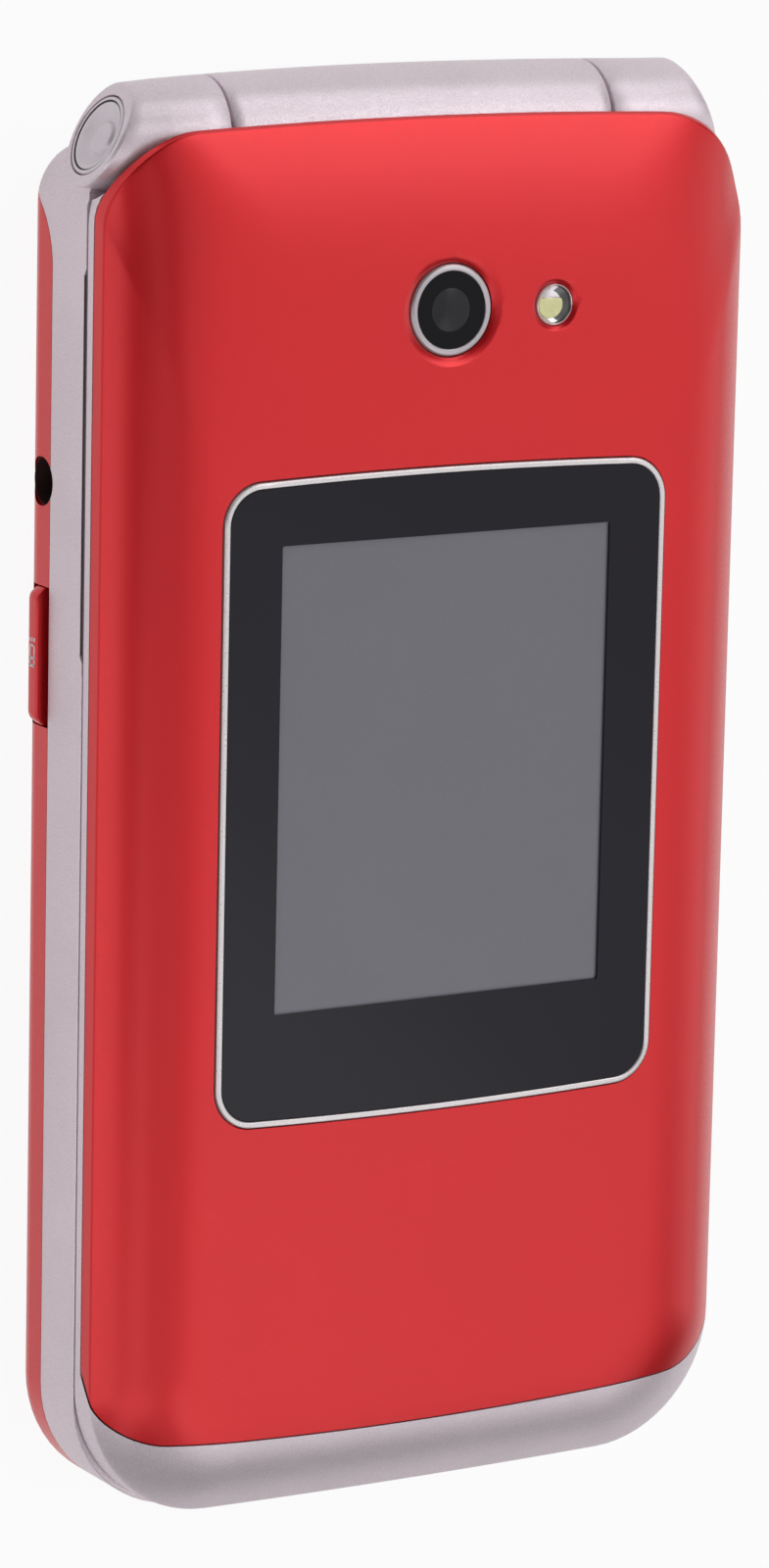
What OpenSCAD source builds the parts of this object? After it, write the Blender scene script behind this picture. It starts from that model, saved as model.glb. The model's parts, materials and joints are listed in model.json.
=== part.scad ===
// Flip phone with an outer display, lying closed on its back.
// X runs across the phone, +Y towards the hinge, +Z up through the lid.
// Origin: middle of the back face. All sizes in millimetres.

/* [Body] */
// Width across the side walls
body_w = 54.6; // [54:0.2:62]
// Overall length, from the chin to the back of the hinge barrel
body_len = 107.8; // [106:0.2:120]
// Radius of the two corners at the chin, seen from above
chin_corner_r = 10; // [8:0.5:11]
// Bulge of the chin and hinge ends at their middle
end_arch = 0.4; // [0.1:0.1:0.8]
// Height of the rear cover's side wall
rear_side_h = 5.8; // [5.6:0.1:7]
// Height of the silver band of the front housing
band_h = 4.92; // [4.8:0.02:6]
// Gap between the closed lid and the base
lid_gap = 0.45; // [0.3:0.05:0.6]
// Height of the lid frame's visible strip
strip_h = 1.07; // [0.8:0.01:1.6]
// Rise of the lid cover above its lower edge
cover_rise = 4.56; // [4.4:0.02:6]

/* [Lid cover] */
// Width of the rounded fall at the sides and the chin
side_run = 8.5; // [7:0.5:9]
// Height of the cover's upright side, below the crease
side_h = 1.2; // [0.8:0.1:1.6]
// Length of the gentle fall towards the hinge
hinge_run = 15; // [12:0.5:18]
// Radius of the lid's corners at the hinge end
lid_corner_r = 7.2; // [6:0.2:8]
// Wall of the lid cover
cover_wall = 1.2; // [1:0.1:1.3]
// Wall of the silver lid frame
frame_wall = 2; // [1.6:0.1:2.2]
// Width of the silver chin beyond the cover's seam
chin_len = 5.6; // [4.6:0.2:6.4]
// Corner radius of the seam between cover and chin
seam_r = 9; // [8:0.5:10]
// Width of the seam between cover and chin
seam_gap = 0.12; // [0.08:0.02:0.2]

/* [Outer window] */
// Width over the window's trim
window_w = 37.65; // [34:0.05:38.4]
// Length over the window's trim
window_l = 48.7; // [46:0.1:50]
// Place of the window's middle along the phone
window_y = 0.5; // [-1:0.1:1]
// Corner radius of the trim
window_r = 3; // [2.4:0.1:5]
// Bulge of the window's ends
window_arch = 0.4; // [0.1:0.1:0.6]
// Visible width of the trim
trim_w = 0.45; // [0.3:0.05:0.7]
// Height that the trim stands above the cover
trim_proud = 0.2; // [0.1:0.05:0.4]
// Width of the outer display's picture
outer_lcd_w = 28.03; // [24:0.01:30]
// Length of the outer display's picture
outer_lcd_l = 35.04; // [30:0.01:37]
// Place of the outer display's middle along the phone
outer_lcd_y = 2.3; // [1.5:0.1:3]

/* [Camera and flash] */
// Distance of camera and flash from the hinge axis
camera_from_axis = 12.78; // [12.4:0.02:13.2]
// Outer radius of the camera ring
camera_r = 3.42; // [3:0.02:3.6]
// Width of the camera ring's face
camera_ring_w = 0.53; // [0.3:0.01:0.8]
// Distance of the flash from the camera
flash_x = 8.83; // [8:0.01:11]
// Radius of the flash lens
flash_r = 1.55; // [1.2:0.05:1.8]
// Width of the shallow dish around the camera ring
dish_w = 0.85; // [0.5:0.05:1.2]
// Depth of that dish
dish_depth = 0.35; // [0.2:0.05:0.5]

/* [Hinge] */
// Largest radius of the hinge barrel, at its middle
barrel_r = 4.77; // [4.6:0.01:5]
// Loss of radius of the crowned barrel at the side walls
barrel_crown = 0.9; // [0.5:0.1:1]
// Left end of the lid's middle barrel
barrel_left = 17.4; // [15:0.1:18]
// Right end of the lid's middle barrel
barrel_right = 14.6; // [14:0.1:18]
// Width of each joint between barrel and knuckle
joint_gap = 0.2; // [0.1:0.02:0.3]
// Slant of the knuckles' end faces, in degrees
knuckle_slant = 23; // [18:1:26]
// Height of the hinge axis below the middle of the lid gap
axis_drop = 0.545; // [0.4:0.005:0.7]
// Radius of the end caps
cap_r = 3.1; // [2.8:0.05:3.3]
// Radius of the hinge cartridge
cartridge_r = 3; // [2.7:0.05:3.2]
// Radius of the cartridge's cam pin
cam_pin_r = 1.6; // [1.3:0.05:1.9]
// Outer radius of the hollow hinge bush
bush_r = 2.6; // [2.3:0.05:2.9]
// Radial clearance of the turning fits
turn_fit = 0.05; // [0.02:0.01:0.08]

/* [Keypad] */
// Distance of the key field from the side walls
key_margin = 5; // [4.8:0.1:6]
// Length of a number key
key_l = 10.4; // [9.6:0.1:10.6]
// Gap between keys
key_gap = 1.6; // [1.4:0.1:1.8]
// Gap around each key in its hole
key_fit = 0.2; // [0.15:0.05:0.3]
// Width of the four-way key
nav_w = 21; // [19:0.5:23]
// Length of the four-way key
nav_l = 24; // [22:0.5:25]
// Width of the key in the middle of the four-way key
ok_w = 9.5; // [8:0.5:11]
// Distance between the last row of keys and the chin
keys_from_chin = 5.7; // [5.6:0.1:6.4]
// Height of the key tops above the keypad plate
key_proud = 0.65; // [0.5:0.05:0.7]
// Travel of the keys
key_travel = 0.25; // [0.2:0.01:0.28]
// Depth of the keypad plate below the housing's rim
plate_drop = 0.42; // [0.4:0.02:0.6]
// Thickness of the keypad plate
plate_t = 0.9; // [0.8:0.05:1]

/* [Side controls] */
// Radius of the headset socket's hole
jack_r = 1.75; // [1.75:0.05:1.8]
// Place of the headset socket along the phone
jack_y = 23.6; // [23.4:0.1:25]
// Height of the headset socket's axis
jack_z = 4.7; // [4.6:0.05:4.9]
// Length of the torch key
torch_l = 10.3; // [9:0.1:12]
// Place of the torch key and the volume key along the phone
side_key_y = 10.65; // [9:0.05:11]
// Height of both side keys
side_key_h = 2.6; // [2.2:0.1:2.6]
// Height that the side keys stand proud of the side walls
side_key_proud = 0.8; // [0.6:0.1:1.2]
// Length of the volume key
volume_l = 18; // [16:0.5:20]

/* [Base] */
// Wall of the rear cover
rear_wall = 1.1; // [0.9:0.1:1.2]
// Wall of the front housing
housing_wall = 1.6; // [1.4:0.1:1.6]
// Width of the round between sides and back
rear_run = 6.5; // [5:0.5:7]
// Height of the round between sides and back
rear_round_h = 4; // [3:0.2:4.6]
// Battery width
battery_w = 38; // [34:0.5:38]
// Battery length
battery_l = 54; // [48:0.5:55]
// Battery thickness
battery_t = 4.6; // [4:0.1:4.7]
// Thickness of the main board
board_t = 0.8; // [0.6:0.1:0.8]
// Distance of the inner display's picture from the side walls
inner_lcd_margin = 5.7; // [5.6:0.1:7.2]
// Gap between the inner display's module and the camera's
lcd_to_camera = 8.3644; // [7:0.0001:9]

/* [Hidden] */

$fn = 64;
e = 0.01;             // overlap that joins neighbouring solids
far = 200;            // reach of the cutting blocks
corner_n = 7;         // facets round each corner of the shells
end_n = 6;            // facets along each arched end
ring_n = 8;           // rings over the rounded edge of the shells
seat = 0.1;           // gap between a piece and the pocket that holds it

hw = body_w / 2;
chin_y = -body_len / 2;
axis_y = body_len / 2 - barrel_r;
camera_y = axis_y - camera_from_axis;
camera_block = 7.4;

// Heights, from the back upwards
rim_z = rear_side_h + band_h;
lid_z = rim_z + lid_gap;
edge_z = lid_z + strip_h;
crown_z = edge_z + cover_rise;
window_z = crown_z + trim_proud;
axis_z = rim_z + lid_gap / 2 - axis_drop;
plate_z = rim_z - plate_drop;
ledge_z = plate_z - plate_t;
key_top_z = plate_z + key_proud;
ledge_t = 0.65;
cavity_z = ledge_z - ledge_t;
mat_t = 0.4;
pip_h = 0.25;
board_z = cavity_z - 0.25 - mat_t - board_t;
chassis_t = 1;
chassis_z = board_z - seat - chassis_t;

// The lid's lip passes over the barrel at this height
lid_end_y = axis_y + 1.4;
sweep_r = barrel_r + 0.4;
lip_z = axis_z + sqrt(pow(sweep_r - 0.03, 2) - pow(lid_end_y - axis_y, 2));
bulkhead_y = axis_y - sweep_r - 0.15;
base_end_y = axis_y - 0.5;
seam_y = chin_y + chin_len;
lid_inner_z = lid_z + 0.25;
bezel_t = 0.83;
lid_end_wall = 2.4;
inside_top_y = bulkhead_y - lid_end_wall;

function mix(a, b, t) = a + (b - a) * t;
function smooth(a, b, v) = let (t = min(1, max(0, (v - a) / (b - a)))) t * t * (3 - 2 * t);
function arc(x, y, r, a0, n = corner_n) =
    [for (i = [0:n]) let (a = a0 + 90 * i / n) [x + r * cos(a), y + r * sin(a)]];

// Plan outline, anticlockwise: half width w, from y = b to y = t at the middle, with corner
// radii rb and rt, and both ends bulging by arch.
function plan(w, b, t, rb, rt, arch = end_arch) =
    let (
        flat_b = b + arch,
        flat_t = t - arch,
        raw = concat(
            arc(w - rb, flat_b + rb, rb, -90),
            arc(w - rt, flat_t - rt, rt, 0),
            [for (i = [1:end_n - 1]) [mix(w - rt, rt - w, i / end_n), flat_t]],
            arc(rt - w, flat_t - rt, rt, 90),
            arc(rb - w, flat_b + rb, rb, 180),
            [for (i = [1:end_n - 1]) [mix(rb - w, w - rb, i / end_n), flat_b]]
        )
    )
    [for (p = raw) [p[0], p[1] + sign(p[1] - (b + t) / 2) * arch * (1 - pow(p[0] / w, 2))]];

// Closed solid through a stack of outlines, from the top down, with a flat cap on the first and the last.
module loft(rings) {
    n = len(rings[0]);
    last = (len(rings) - 1) * n;
    polyhedron(
        points = [for (ring = rings) each ring],
        faces = concat(
            [[for (i = [n - 1:-1:0]) i]],
            [for (k = [0:len(rings) - 2], i = [0:n - 1]) each
                let (a = k * n + i, b = k * n + (i + 1) % n) [[a, b + n, a + n], [a, b, b + n]]],
            [[for (i = [0:n - 1]) last + i]]
        ),
        convexity = 10
    );
}

function lift(ring, z) = [for (p = ring) [p[0], p[1], z]];
function lift_each(ring, zs) = [for (i = [0:len(ring) - 1]) [ring[i][0], ring[i][1], zs[i]]];
function round_up(u) = sqrt(1 - pow(1 - u, 2));

// Lid: outline at a share u of the rounded fall, set in by wall
function lid_ring(u, wall) = plan(
    hw - wall - side_run * u,
    chin_y + wall + side_run * u,
    lid_end_y - wall - hinge_run * u,
    chin_corner_r * (1 - 0.6 * u) - wall * 0.7,
    lid_corner_r * (1 - 0.5 * u) - wall * 0.7
);

// Height of the cover's lower edge round the lid: it climbs over the barrel at the hinge end
cover_edge = [for (p = lid_ring(0, 0)) mix(edge_z, lip_z, smooth(lid_end_y - 7.5, lid_end_y - 2.5, p[1]))];

// Lid: shares of run and height of ring k, up the upright side and over the crown
side_share = side_h / cover_rise;
function crown_run(k) = k == 0 ? 0 : mix(0.012, 1, pow((k - 1) / (ring_n - 1), 1.25));
function crown_height(k) = k == 0 ? 0 : mix(side_share, 1, 1 - pow(1 - (crown_run(k) - 0.012) / 0.988, 2.75));

// Lid: rings of the crowned surface, lowered by wall, from the crown down to the edge
function lid_crown(wall) = [for (k = [ring_n:-1:0])
    lift_each(lid_ring(crown_run(k), wall), [for (z = cover_edge) mix(z, crown_z - wall, crown_height(k))])];

function reversed(list) = [for (i = [len(list) - 1:-1:0]) list[i]];

// Region seen from above that belongs to the cover, grown by g over the seam
module cover_region(g = 0) {
    y = seam_y - g;
    r = seam_r + g;
    w = hw + g;
    right = concat(arc(w - r, y + end_arch + r, r, -90), [[hw + 3, y + end_arch + r], [hw + 3, far]]);
    bulged = [for (p = right) [p[0], p[1] - (p[0] < w ? end_arch * (1 - pow(p[0] / w, 2)) : 0)]];
    middle = [for (i = [1:end_n - 1]) let (x = mix(r - w, w - r, i / end_n)) [x, y + end_arch * pow(x / w, 2)]];
    polygon(concat(bulged, reversed([for (p = bulged) [-p[0], p[1]]]), middle));
}

base_corner_r = 4;

// Base: outline at a share u of the round towards the back, set in by wall
function base_ring(u, wall) = plan(
    hw - wall - rear_run * u,
    chin_y + wall + rear_run * u,
    base_end_y - wall - rear_run * u,
    chin_corner_r * (1 - 0.6 * u) - wall * 0.7,
    base_corner_r * (1 - 0.5 * u) - wall * 0.7
);

// Height of the rear cover's inner face at a distance inset from the outline
function back_z(inset) = rear_wall
    + (rear_round_h - rear_wall) * (1 - round_up(min(1, (inset - rear_wall) / rear_run)));

// Solid of the base's outer form, set in by wall all round and above the back
module base_form(wall = 0) {
    top = wall > 0 ? rim_z + 5 : rim_z;
    loft(concat(
        [lift(base_ring(0, wall), top)],
        [for (k = [0:ring_n]) let (u = k / ring_n)
            lift(base_ring(u, wall), wall + (rear_round_h - wall) * (1 - round_up(u)))]
    ));
}

// Space of the rear cover: everything below the band, ending in a round at the hinge end
module rear_zone(g = 0) {
    y = base_end_y - 9.3;
    r = rear_run + g;
    z = rear_side_h - rear_run;
    steps = 12;
    round_end = [for (i = [0:steps]) [y + r * sin(90 * i / steps), z + r * cos(90 * i / steps)]];
    translate([-far / 2, 0, 0]) rotate([90, 0, 90]) linear_extrude(far)
        polygon(concat([[y + r, -far], [-far, -far], [-far, z + r]], round_end));
}

// Prism with round corners: x and y are the middle, from z up to z + h
module block(w, l, r, x, y, z, h) {
    n = r > 1 ? 6 : 3;
    translate([x, y, z]) linear_extrude(h) polygon(concat(
        arc(w / 2 - r, r - l / 2, r, -90, n), arc(w / 2 - r, l / 2 - r, r, 0, n),
        arc(r - w / 2, l / 2 - r, r, 90, n), arc(r - w / 2, r - l / 2, r, 180, n)));
}

module rod_x(r, x0, x1, y = axis_y, z = axis_z) {
    translate([x0, y, z]) rotate([0, 90, 0]) cylinder(r = r, h = x1 - x0, $fn = r > 10 ? 480 : $fn);
}

module plan_prism(w, b, t, rb, rt, z0, z1, arch = end_arch) {
    translate([0, 0, z0]) linear_extrude(z1 - z0) polygon(plan(w, b, t, rb, rt, arch));
}

// --- Hinge ---------------------------------------------------------------------------------

// Crowned barrel from x0 to x1, thickest at the phone's middle
module barrel(x0, x1) {
    function radius(x) = barrel_r - barrel_crown * pow(x / hw, 2);
    n = 6;
    side = [for (i = [0:n]) let (x = mix(x0, x1, i / n)) [radius(x), x]];
    translate([0, axis_y, axis_z]) rotate([90, 0, 90])
        rotate_extrude($fn = 96) polygon(concat([[0, x0]], side, [[0, x1]]));
}

// Places children on the slanted end face of a knuckle, with +Z out of the face
module on_end_face(side) {
    face_x = hw - barrel_end_r() * tan(knuckle_slant) - 0.05;
    translate([side * face_x, axis_y, axis_z]) rotate([0, 0, side > 0 ? knuckle_slant : 180 - knuckle_slant])
        rotate([0, 90, 0]) children();
}
function barrel_end_r() = barrel_r - barrel_crown;

cap_depth = 0.7;
flank_back = 0.25;

module knuckle(side) {
    inner = (side > 0 ? barrel_right : barrel_left) + joint_gap / 2;
    difference() {
        mirror([side > 0 ? 0 : 1, 0, 0]) barrel(inner, hw + 4);
        on_end_face(side) translate([-20, -20, 0]) cube([40, 40, 20]);
    }
}

module cap_recess(side) { on_end_face(side) translate([0, 0, -cap_depth]) cylinder(r = cap_r + 0.15, h = 5); }

module hinge_cap(side) {
    t = cap_depth - 0.05;
    on_end_face(side) translate([0, 0, 0.02 - cap_depth]) rotate_extrude($fn = 96)
        polygon([[0, 0], [cap_r, 0], [cap_r, t - 0.1], [cap_r - 0.1, t], [cap_r - 0.4, t],
            [cap_r - 0.75, t - 0.3], [1.6, t - 0.38], [1.35, t - 0.22], [0, t - 0.22]]);
}

module hinge_cap_left() { color("silver") hinge_cap(-1); }
module hinge_cap_right() { color("silver") hinge_cap(1); }

cartridge_l = 12;
hinge_end = 7.7;       // room between the cam pin and the side wall
cam_pin_l = hw - hinge_end - barrel_right;
module hinge_cartridge() {
    x1 = barrel_right - joint_gap / 2 - 0.4;
    color("gray") {
        rod_x(cartridge_r, x1 - cartridge_l, x1);
        rod_x(cam_pin_r, x1 - e, x1 + 0.6 + cam_pin_l);
    }
}

bush_in_lid = 4;
bush_in_base = hw - hinge_end + 1.8 - barrel_left;
module hinge_bush() {
    color("dimgray") difference() {
        rod_x(bush_r, -barrel_left - bush_in_base, -barrel_left + bush_in_lid);
        rod_x(bush_r - 0.8, -barrel_left - bush_in_base - 1, -barrel_left + bush_in_lid + 1);
    }
}

// --- Lid -----------------------------------------------------------------------------------

module window_prism(inset, z0, z1) {
    w = window_w / 2 - inset;
    r = max(0.5, window_r - inset);
    plan_prism(w, window_y - window_l / 2 + inset, window_y + window_l / 2 - inset, r, r, z0, z1, window_arch);
}

glass_t = 0.85;
pocket_z = window_z - glass_t - 0.15;
window_ledge = 1.6;
camera_fit = 0.12;
rim_gap = 0.08;       // the cover's rim lies this far above the frame's strip

// Shallow dish that falls from the crown to the rim of a hole of radius r
module dish(x, r, w, depth) {
    translate([x, camera_y, crown_z - depth]) cylinder(r1 = r, r2 = r + w, h = depth);
    translate([x, camera_y, crown_z - e]) cylinder(r = r + w, h = 1);
}

module lid_cover() {
    color("crimson") difference() {
        intersection() {
            loft(concat(lid_crown(0), reversed(lid_crown(cover_wall))));
            translate([0, 0, edge_z - 1]) linear_extrude(20) cover_region();
        }
        window_prism(-camera_fit, pocket_z, crown_z + 5);
        window_prism(window_ledge, edge_z, crown_z + 5);
        translate([0, camera_y, edge_z]) cylinder(r = camera_r + camera_fit, h = 10);
        translate([flash_x, camera_y, edge_z]) cylinder(r = flash_r + camera_fit, h = 10);
        dish(0, camera_r + camera_fit, dish_w, dish_depth);
        dish(flash_x, flash_r + camera_fit, dish_w / 2, dish_depth * 0.7);
    }
}

// Space above the frame's strip that the cover fills, following the cover's lower edge
module cover_space() {
    strip_top = [for (z = cover_edge) z - rim_gap];
    intersection() {
        loft([
            lift(plan(hw + 1, chin_y - 1, lid_end_y + 1, chin_corner_r + 1, lid_corner_r + 1), crown_z + 5),
            lift_each(plan(hw + 1, chin_y - 1, lid_end_y + 1, chin_corner_r + 1, lid_corner_r + 1), strip_top),
            lift_each(lid_ring(0, frame_wall + 0.3), strip_top),
            lift(lid_ring(0.7, 0), edge_z - rim_gap)
        ]);
        translate([0, 0, lid_z - 1]) linear_extrude(20) cover_region(seam_gap);
    }
}

module lid_frame() {
    left = -barrel_left + joint_gap / 2;
    right = barrel_right - joint_gap / 2;
    web_z = axis_z + 3.4;
    color("silver") difference() {
        union() {
            difference() {
                loft(concat(
                    lid_crown(0),
                    [lift(lid_ring(0, 0), lid_z)],
                    [lift(lid_ring(0, frame_wall), lid_z)],
                    reversed(lid_crown(frame_wall))
                ));
                cover_space();
                rod_x(sweep_r, -far / 2, far / 2);
            }
            // bulkhead between the side walls, and the web that carries the middle barrel
            translate([0, bulkhead_y, 0]) rotate([90, 0, 0]) linear_extrude(lid_end_wall)
                polygon([[frame_wall / 2 - hw, lid_z + 0.1], [hw - frame_wall / 2, lid_z + 0.1],
                    [hw - frame_wall / 2, edge_z - 0.1], [hw - side_run, web_z + 1],
                    [side_run - hw, web_z + 1], [frame_wall / 2 - hw, edge_z - 0.1]]);
            translate([left + 0.5, bulkhead_y - 0.5, lid_z + 0.05])
                cube([right - left - 1, axis_y - bulkhead_y, web_z - lid_z]);
            barrel(left, right);
        }
        // bores for the hinge bush, the cable and the cartridge
        rod_x(bush_r + turn_fit, left - 1, left + bush_in_lid + 1);
        rod_x(bush_r - 0.8, left, right);
        rod_x(cartridge_r + 0.02, right - 0.4 - cartridge_l - 0.1, right + 1);
    }
}

inner_lcd_w = body_w - 2 * inner_lcd_margin;
inner_border = 1.2;
inner_window_end = 2.2;
inner_lcd_end = 4;
earpiece_y = seam_y + 2.4;
inner_lcd_low = earpiece_y + 6.4 + inner_window_end;
inner_lcd_l = camera_y - camera_block / 2 - lcd_to_camera - inner_lcd_end - inner_lcd_low;
inner_window_y = inner_lcd_low + inner_lcd_l / 2;
module inner_window_prism(g, z0, h) {
    block(inner_lcd_w + 2 * (inner_border + g), inner_lcd_l + 2 * (inner_window_end + g), 1.2,
        0, inner_window_y, z0, h);
}

mesh_w = 10;
mesh_l = 1.4;
bumper_r = 1;
bumpers = [[14, chin_y + 4.2], [hw - 7.3, 33]];

module lid_bezel() {
    color([0.12, 0.12, 0.13]) difference() {
        plan_prism(hw - frame_wall - seat, chin_y + frame_wall + seat, inside_top_y - seat,
            chin_corner_r - 0.7 * frame_wall, 1, lid_inner_z, lid_inner_z + bezel_t);
        inner_window_prism(seat, lid_inner_z - 1, 1 + 0.7);
        block(inner_lcd_w + 0.4, inner_lcd_l + 0.4, 0.5, 0, inner_window_y, lid_inner_z - 1, 5);
        block(mesh_w, mesh_l, 0.6, 0, earpiece_y, lid_inner_z - 1, 5);
        for (sx = [-1, 1], p = bumpers)
            translate([sx * p[0], p[1], lid_inner_z - 1]) cylinder(r = bumper_r - 0.2, h = 1.5);
    }
}

module lid_bumpers() {
    color("dimgray") for (sx = [-1, 1], p = bumpers) translate([sx * p[0], p[1], plate_z + 0.05]) {
        cylinder(r = bumper_r, h = lid_inner_z - plate_z - 0.05);
        cylinder(r = bumper_r - 0.25, h = lid_inner_z - plate_z + 0.4);
    }
}

module inner_window() { color([0.05, 0.05, 0.06]) inner_window_prism(0, lid_inner_z + 0.05, 0.6); }

inner_lcd_z = lid_inner_z + bezel_t + 0.05;
inner_lcd_t = 1.6;
module inner_lcd() {
    color("lightgray") block(min(inner_lcd_w + 4.4, 2 * (hw - frame_wall - 1.3)), inner_lcd_l + 9, 0.8,
        0, inner_window_y - 0.5, inner_lcd_z, inner_lcd_t);
}

lid_board_z = inner_lcd_z + inner_lcd_t + 0.05;
lid_board_t = 0.6;
lid_board_w = 40;
lid_board_end = inside_top_y - 1;
lid_board_l = lid_board_end - earpiece_y - 12.3;
chip_w = 12;
chip_l = 3.6;
module lid_board() {
    color("darkgreen") difference() {
        union() {
            block(lid_board_w, lid_board_l, 1.5, 0, lid_board_end - lid_board_l / 2, lid_board_z, lid_board_t);
            // driver chip beside the outer display
            translate([-chip_w / 2, outer_lcd_y - outer_lcd_l / 2 - 2.5 * chip_l, lid_board_z])
                cube([chip_w, chip_l, lid_board_t + 0.7]);
        }
        block(camera_block + 0.6, camera_block + 0.6, 0.5, 0, camera_y, lid_board_z - 1, 5);
    }
}

outer_lcd_z = lid_board_z + lid_board_t + 0.05;
module outer_lcd() {
    color([0.45, 0.44, 0.48]) block(outer_lcd_w + 3, outer_lcd_l + 5, 0.6, 0, outer_lcd_y - 1, outer_lcd_z,
        window_z - glass_t - 0.1 - outer_lcd_z);
}

module outer_window() {
    color([0.15, 0.15, 0.17]) window_prism(trim_w + 0.03, window_z - 0.05 - glass_t, window_z - 0.05);
}

module outer_window_trim() {
    color("gainsboro") difference() {
        window_prism(0, pocket_z, window_z);
        window_prism(trim_w, pocket_z - 1, window_z + 1);
    }
}

camera_foot_z = window_z - 1.1;
camera_barrel_r = 2.6;
module camera_ring() {
    color("gainsboro") translate([0, camera_y, 0]) rotate_extrude($fn = 96)
        polygon([[camera_r - camera_ring_w, camera_foot_z], [camera_r, camera_foot_z],
            [camera_r, window_z - 0.1], [camera_r - 0.1, window_z], [camera_r - camera_ring_w + 0.1, window_z],
            [camera_r - camera_ring_w, window_z - 0.1]]);
}

module camera_window() {
    color([0.1, 0.1, 0.11]) translate([0, camera_y, camera_foot_z + 0.1])
        cylinder(r = camera_r - camera_ring_w - 0.03, h = 0.6);
}

module camera_module() {
    color([0.2, 0.2, 0.2]) {
        block(camera_block, camera_block, 0.4, 0, camera_y,
            inner_lcd_z + 0.2, camera_foot_z - inner_lcd_z - 1.2);
        translate([0, camera_y, camera_foot_z - 1 - e]) cylinder(r = camera_barrel_r, h = 1 + e);
    }
}

module flash_lens() {
    dome_r = 3.4;
    color([0.85, 0.83, 0.6]) translate([flash_x, camera_y, 0]) intersection() {
        translate([0, 0, camera_foot_z]) cylinder(r = flash_r, h = 2);
        translate([0, 0, window_z - 0.05 - dome_r]) sphere(r = dome_r, $fn = 96);
    }
}

led_w = 2;
module flash_led() {
    z = lid_board_z + lid_board_t + 0.02;
    color([0.9, 0.85, 0.3]) translate([flash_x - led_w / 2, camera_y - led_w / 2, z])
        cube([led_w, led_w, camera_foot_z - 0.1 - z]);
}

earpiece_w = 14;
earpiece_l = 5;
earpiece_t = 1.6;
module earpiece() {
    color([0.3, 0.3, 0.3]) block(earpiece_w, earpiece_l, earpiece_t, 0, earpiece_y - 0.1,
        lid_inner_z + bezel_t + 0.05, earpiece_t);
}

module earpiece_mesh() {
    color([0.35, 0.35, 0.36]) difference() {
        block(mesh_w - 2 * seat, mesh_l - 2 * seat, 0.5, 0, earpiece_y, lid_inner_z + 0.15, bezel_t - 0.2);
        for (i = [-5:5]) translate([i * mesh_w / 12.5, earpiece_y, lid_inner_z])
            cylinder(r = 0.2, h = 2, $fn = 16);
    }
}

// --- Base ----------------------------------------------------------------------------------

pad_w = body_w - 2 * key_margin;
key_w = (pad_w - 2 * key_gap) / 3;
keys_y = chin_y + keys_from_chin;
row_pitch = key_l + key_gap;
nav_y = keys_y + 4 * row_pitch + 1.4 + nav_l / 2;
side_w = (pad_w - nav_w - 2 * key_gap) / 2;
side_l = (nav_l - key_gap) / 2;
side_x = pad_w / 2 - side_w / 2;
flange = 0.6;
pad_top_y = nav_y + nav_l / 2 + 2.2;
plate_inset = 3;

screws = [[hw - 5.5, inside_top_y - 3.4], [15, chin_y + housing_wall + 1.9]];
boss_r = 1.4;

side_key_z = rear_side_h - 0.1 - side_key_h;
usb_w = 7.6;
usb_l = 6;
usb_h = 2.7;
usb_z = board_z - 0.05 - usb_h;

module jack_bore(r, x0, x1) { rod_x(r, x0, x1, jack_y, jack_z); }
module usb_opening() {
    translate([-usb_w / 2 - 0.3, chin_y - 3, usb_z - 0.2]) cube([usb_w + 0.6, 12, usb_h + 0.4]);
}

module front_housing() {
    lug_l = 3.2;
    color("silver") difference() {
        union() {
            difference() {
                base_form();
                rear_zone(0.08);
                // slanted flanks at the hinge end, a little behind the knuckles' end faces
                for (side = [-1, 1]) on_end_face(side) translate([-20, -20, -flank_back]) cube([40, 40, 20]);
                // room for the lid's middle barrel
                rod_x(barrel_r + 0.3, -barrel_left - joint_gap / 2 + e, barrel_right + joint_gap / 2 - e);
            }
            for (side = [-1, 1]) knuckle(side);
            // small lugs on the rim that fill the lid gap
            for (side = [-1, 1]) translate([side * (hw - 0.8) - 0.5, side_key_y - 1.4, rim_z - e])
                cube([1, lug_l, lid_gap - 0.08]);
        }
        // room for chassis, board and mat
        plan_prism(hw - housing_wall, chin_y + housing_wall, inside_top_y,
            chin_corner_r - housing_wall, 1, -1, cavity_z);
        // seat of the keypad plate, and the window under the keys
        plan_prism(hw - plate_inset, chin_y + plate_inset, inside_top_y + 1,
            chin_corner_r - plate_inset, 2, ledge_z, rim_z + 2);
        block(pad_w + 2 * flange + 0.6, pad_top_y - keys_y + 1.4, 1, 0, (pad_top_y + keys_y) / 2, cavity_z - 1, 5);
        // bores of the hinge
        rod_x(bush_r + 0.01, -barrel_left - bush_in_base - 0.1, -barrel_left);
        rod_x(cam_pin_r + turn_fit, barrel_right - 1, barrel_right + cam_pin_l + 1);
        jack_bore(jack_r + 0.1, -hw - 1, -hw + housing_wall + 1);
        usb_opening();
        for (side = [-1, 1]) cap_recess(side);
    }
    // screw bosses
    color("silver") for (sx = [-1, 1], p = screws) translate([sx * p[0], p[1], 0]) difference() {
        translate([0, 0, board_z - 0.05]) cylinder(r = boss_r, h = cavity_z - board_z + 0.05 + e);
        translate([0, 0, board_z - 1]) cylinder(r = 0.8, h = cavity_z - board_z + 0.8);
    }
}

// One key of the pad: a crowned cap with a flange under the plate
module key_body(w, l, x, y, r = 1.6) {
    crown = 30;
    intersection() {
        block(w, l, r, x, y, ledge_z - 0.1, 3);
        rod_x(crown, x - w, x + w, y, key_top_z - crown);
    }
    block(w + 2 * flange, l + 2 * flange, r, x, y, ledge_z - 0.35, 0.3);
}

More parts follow.
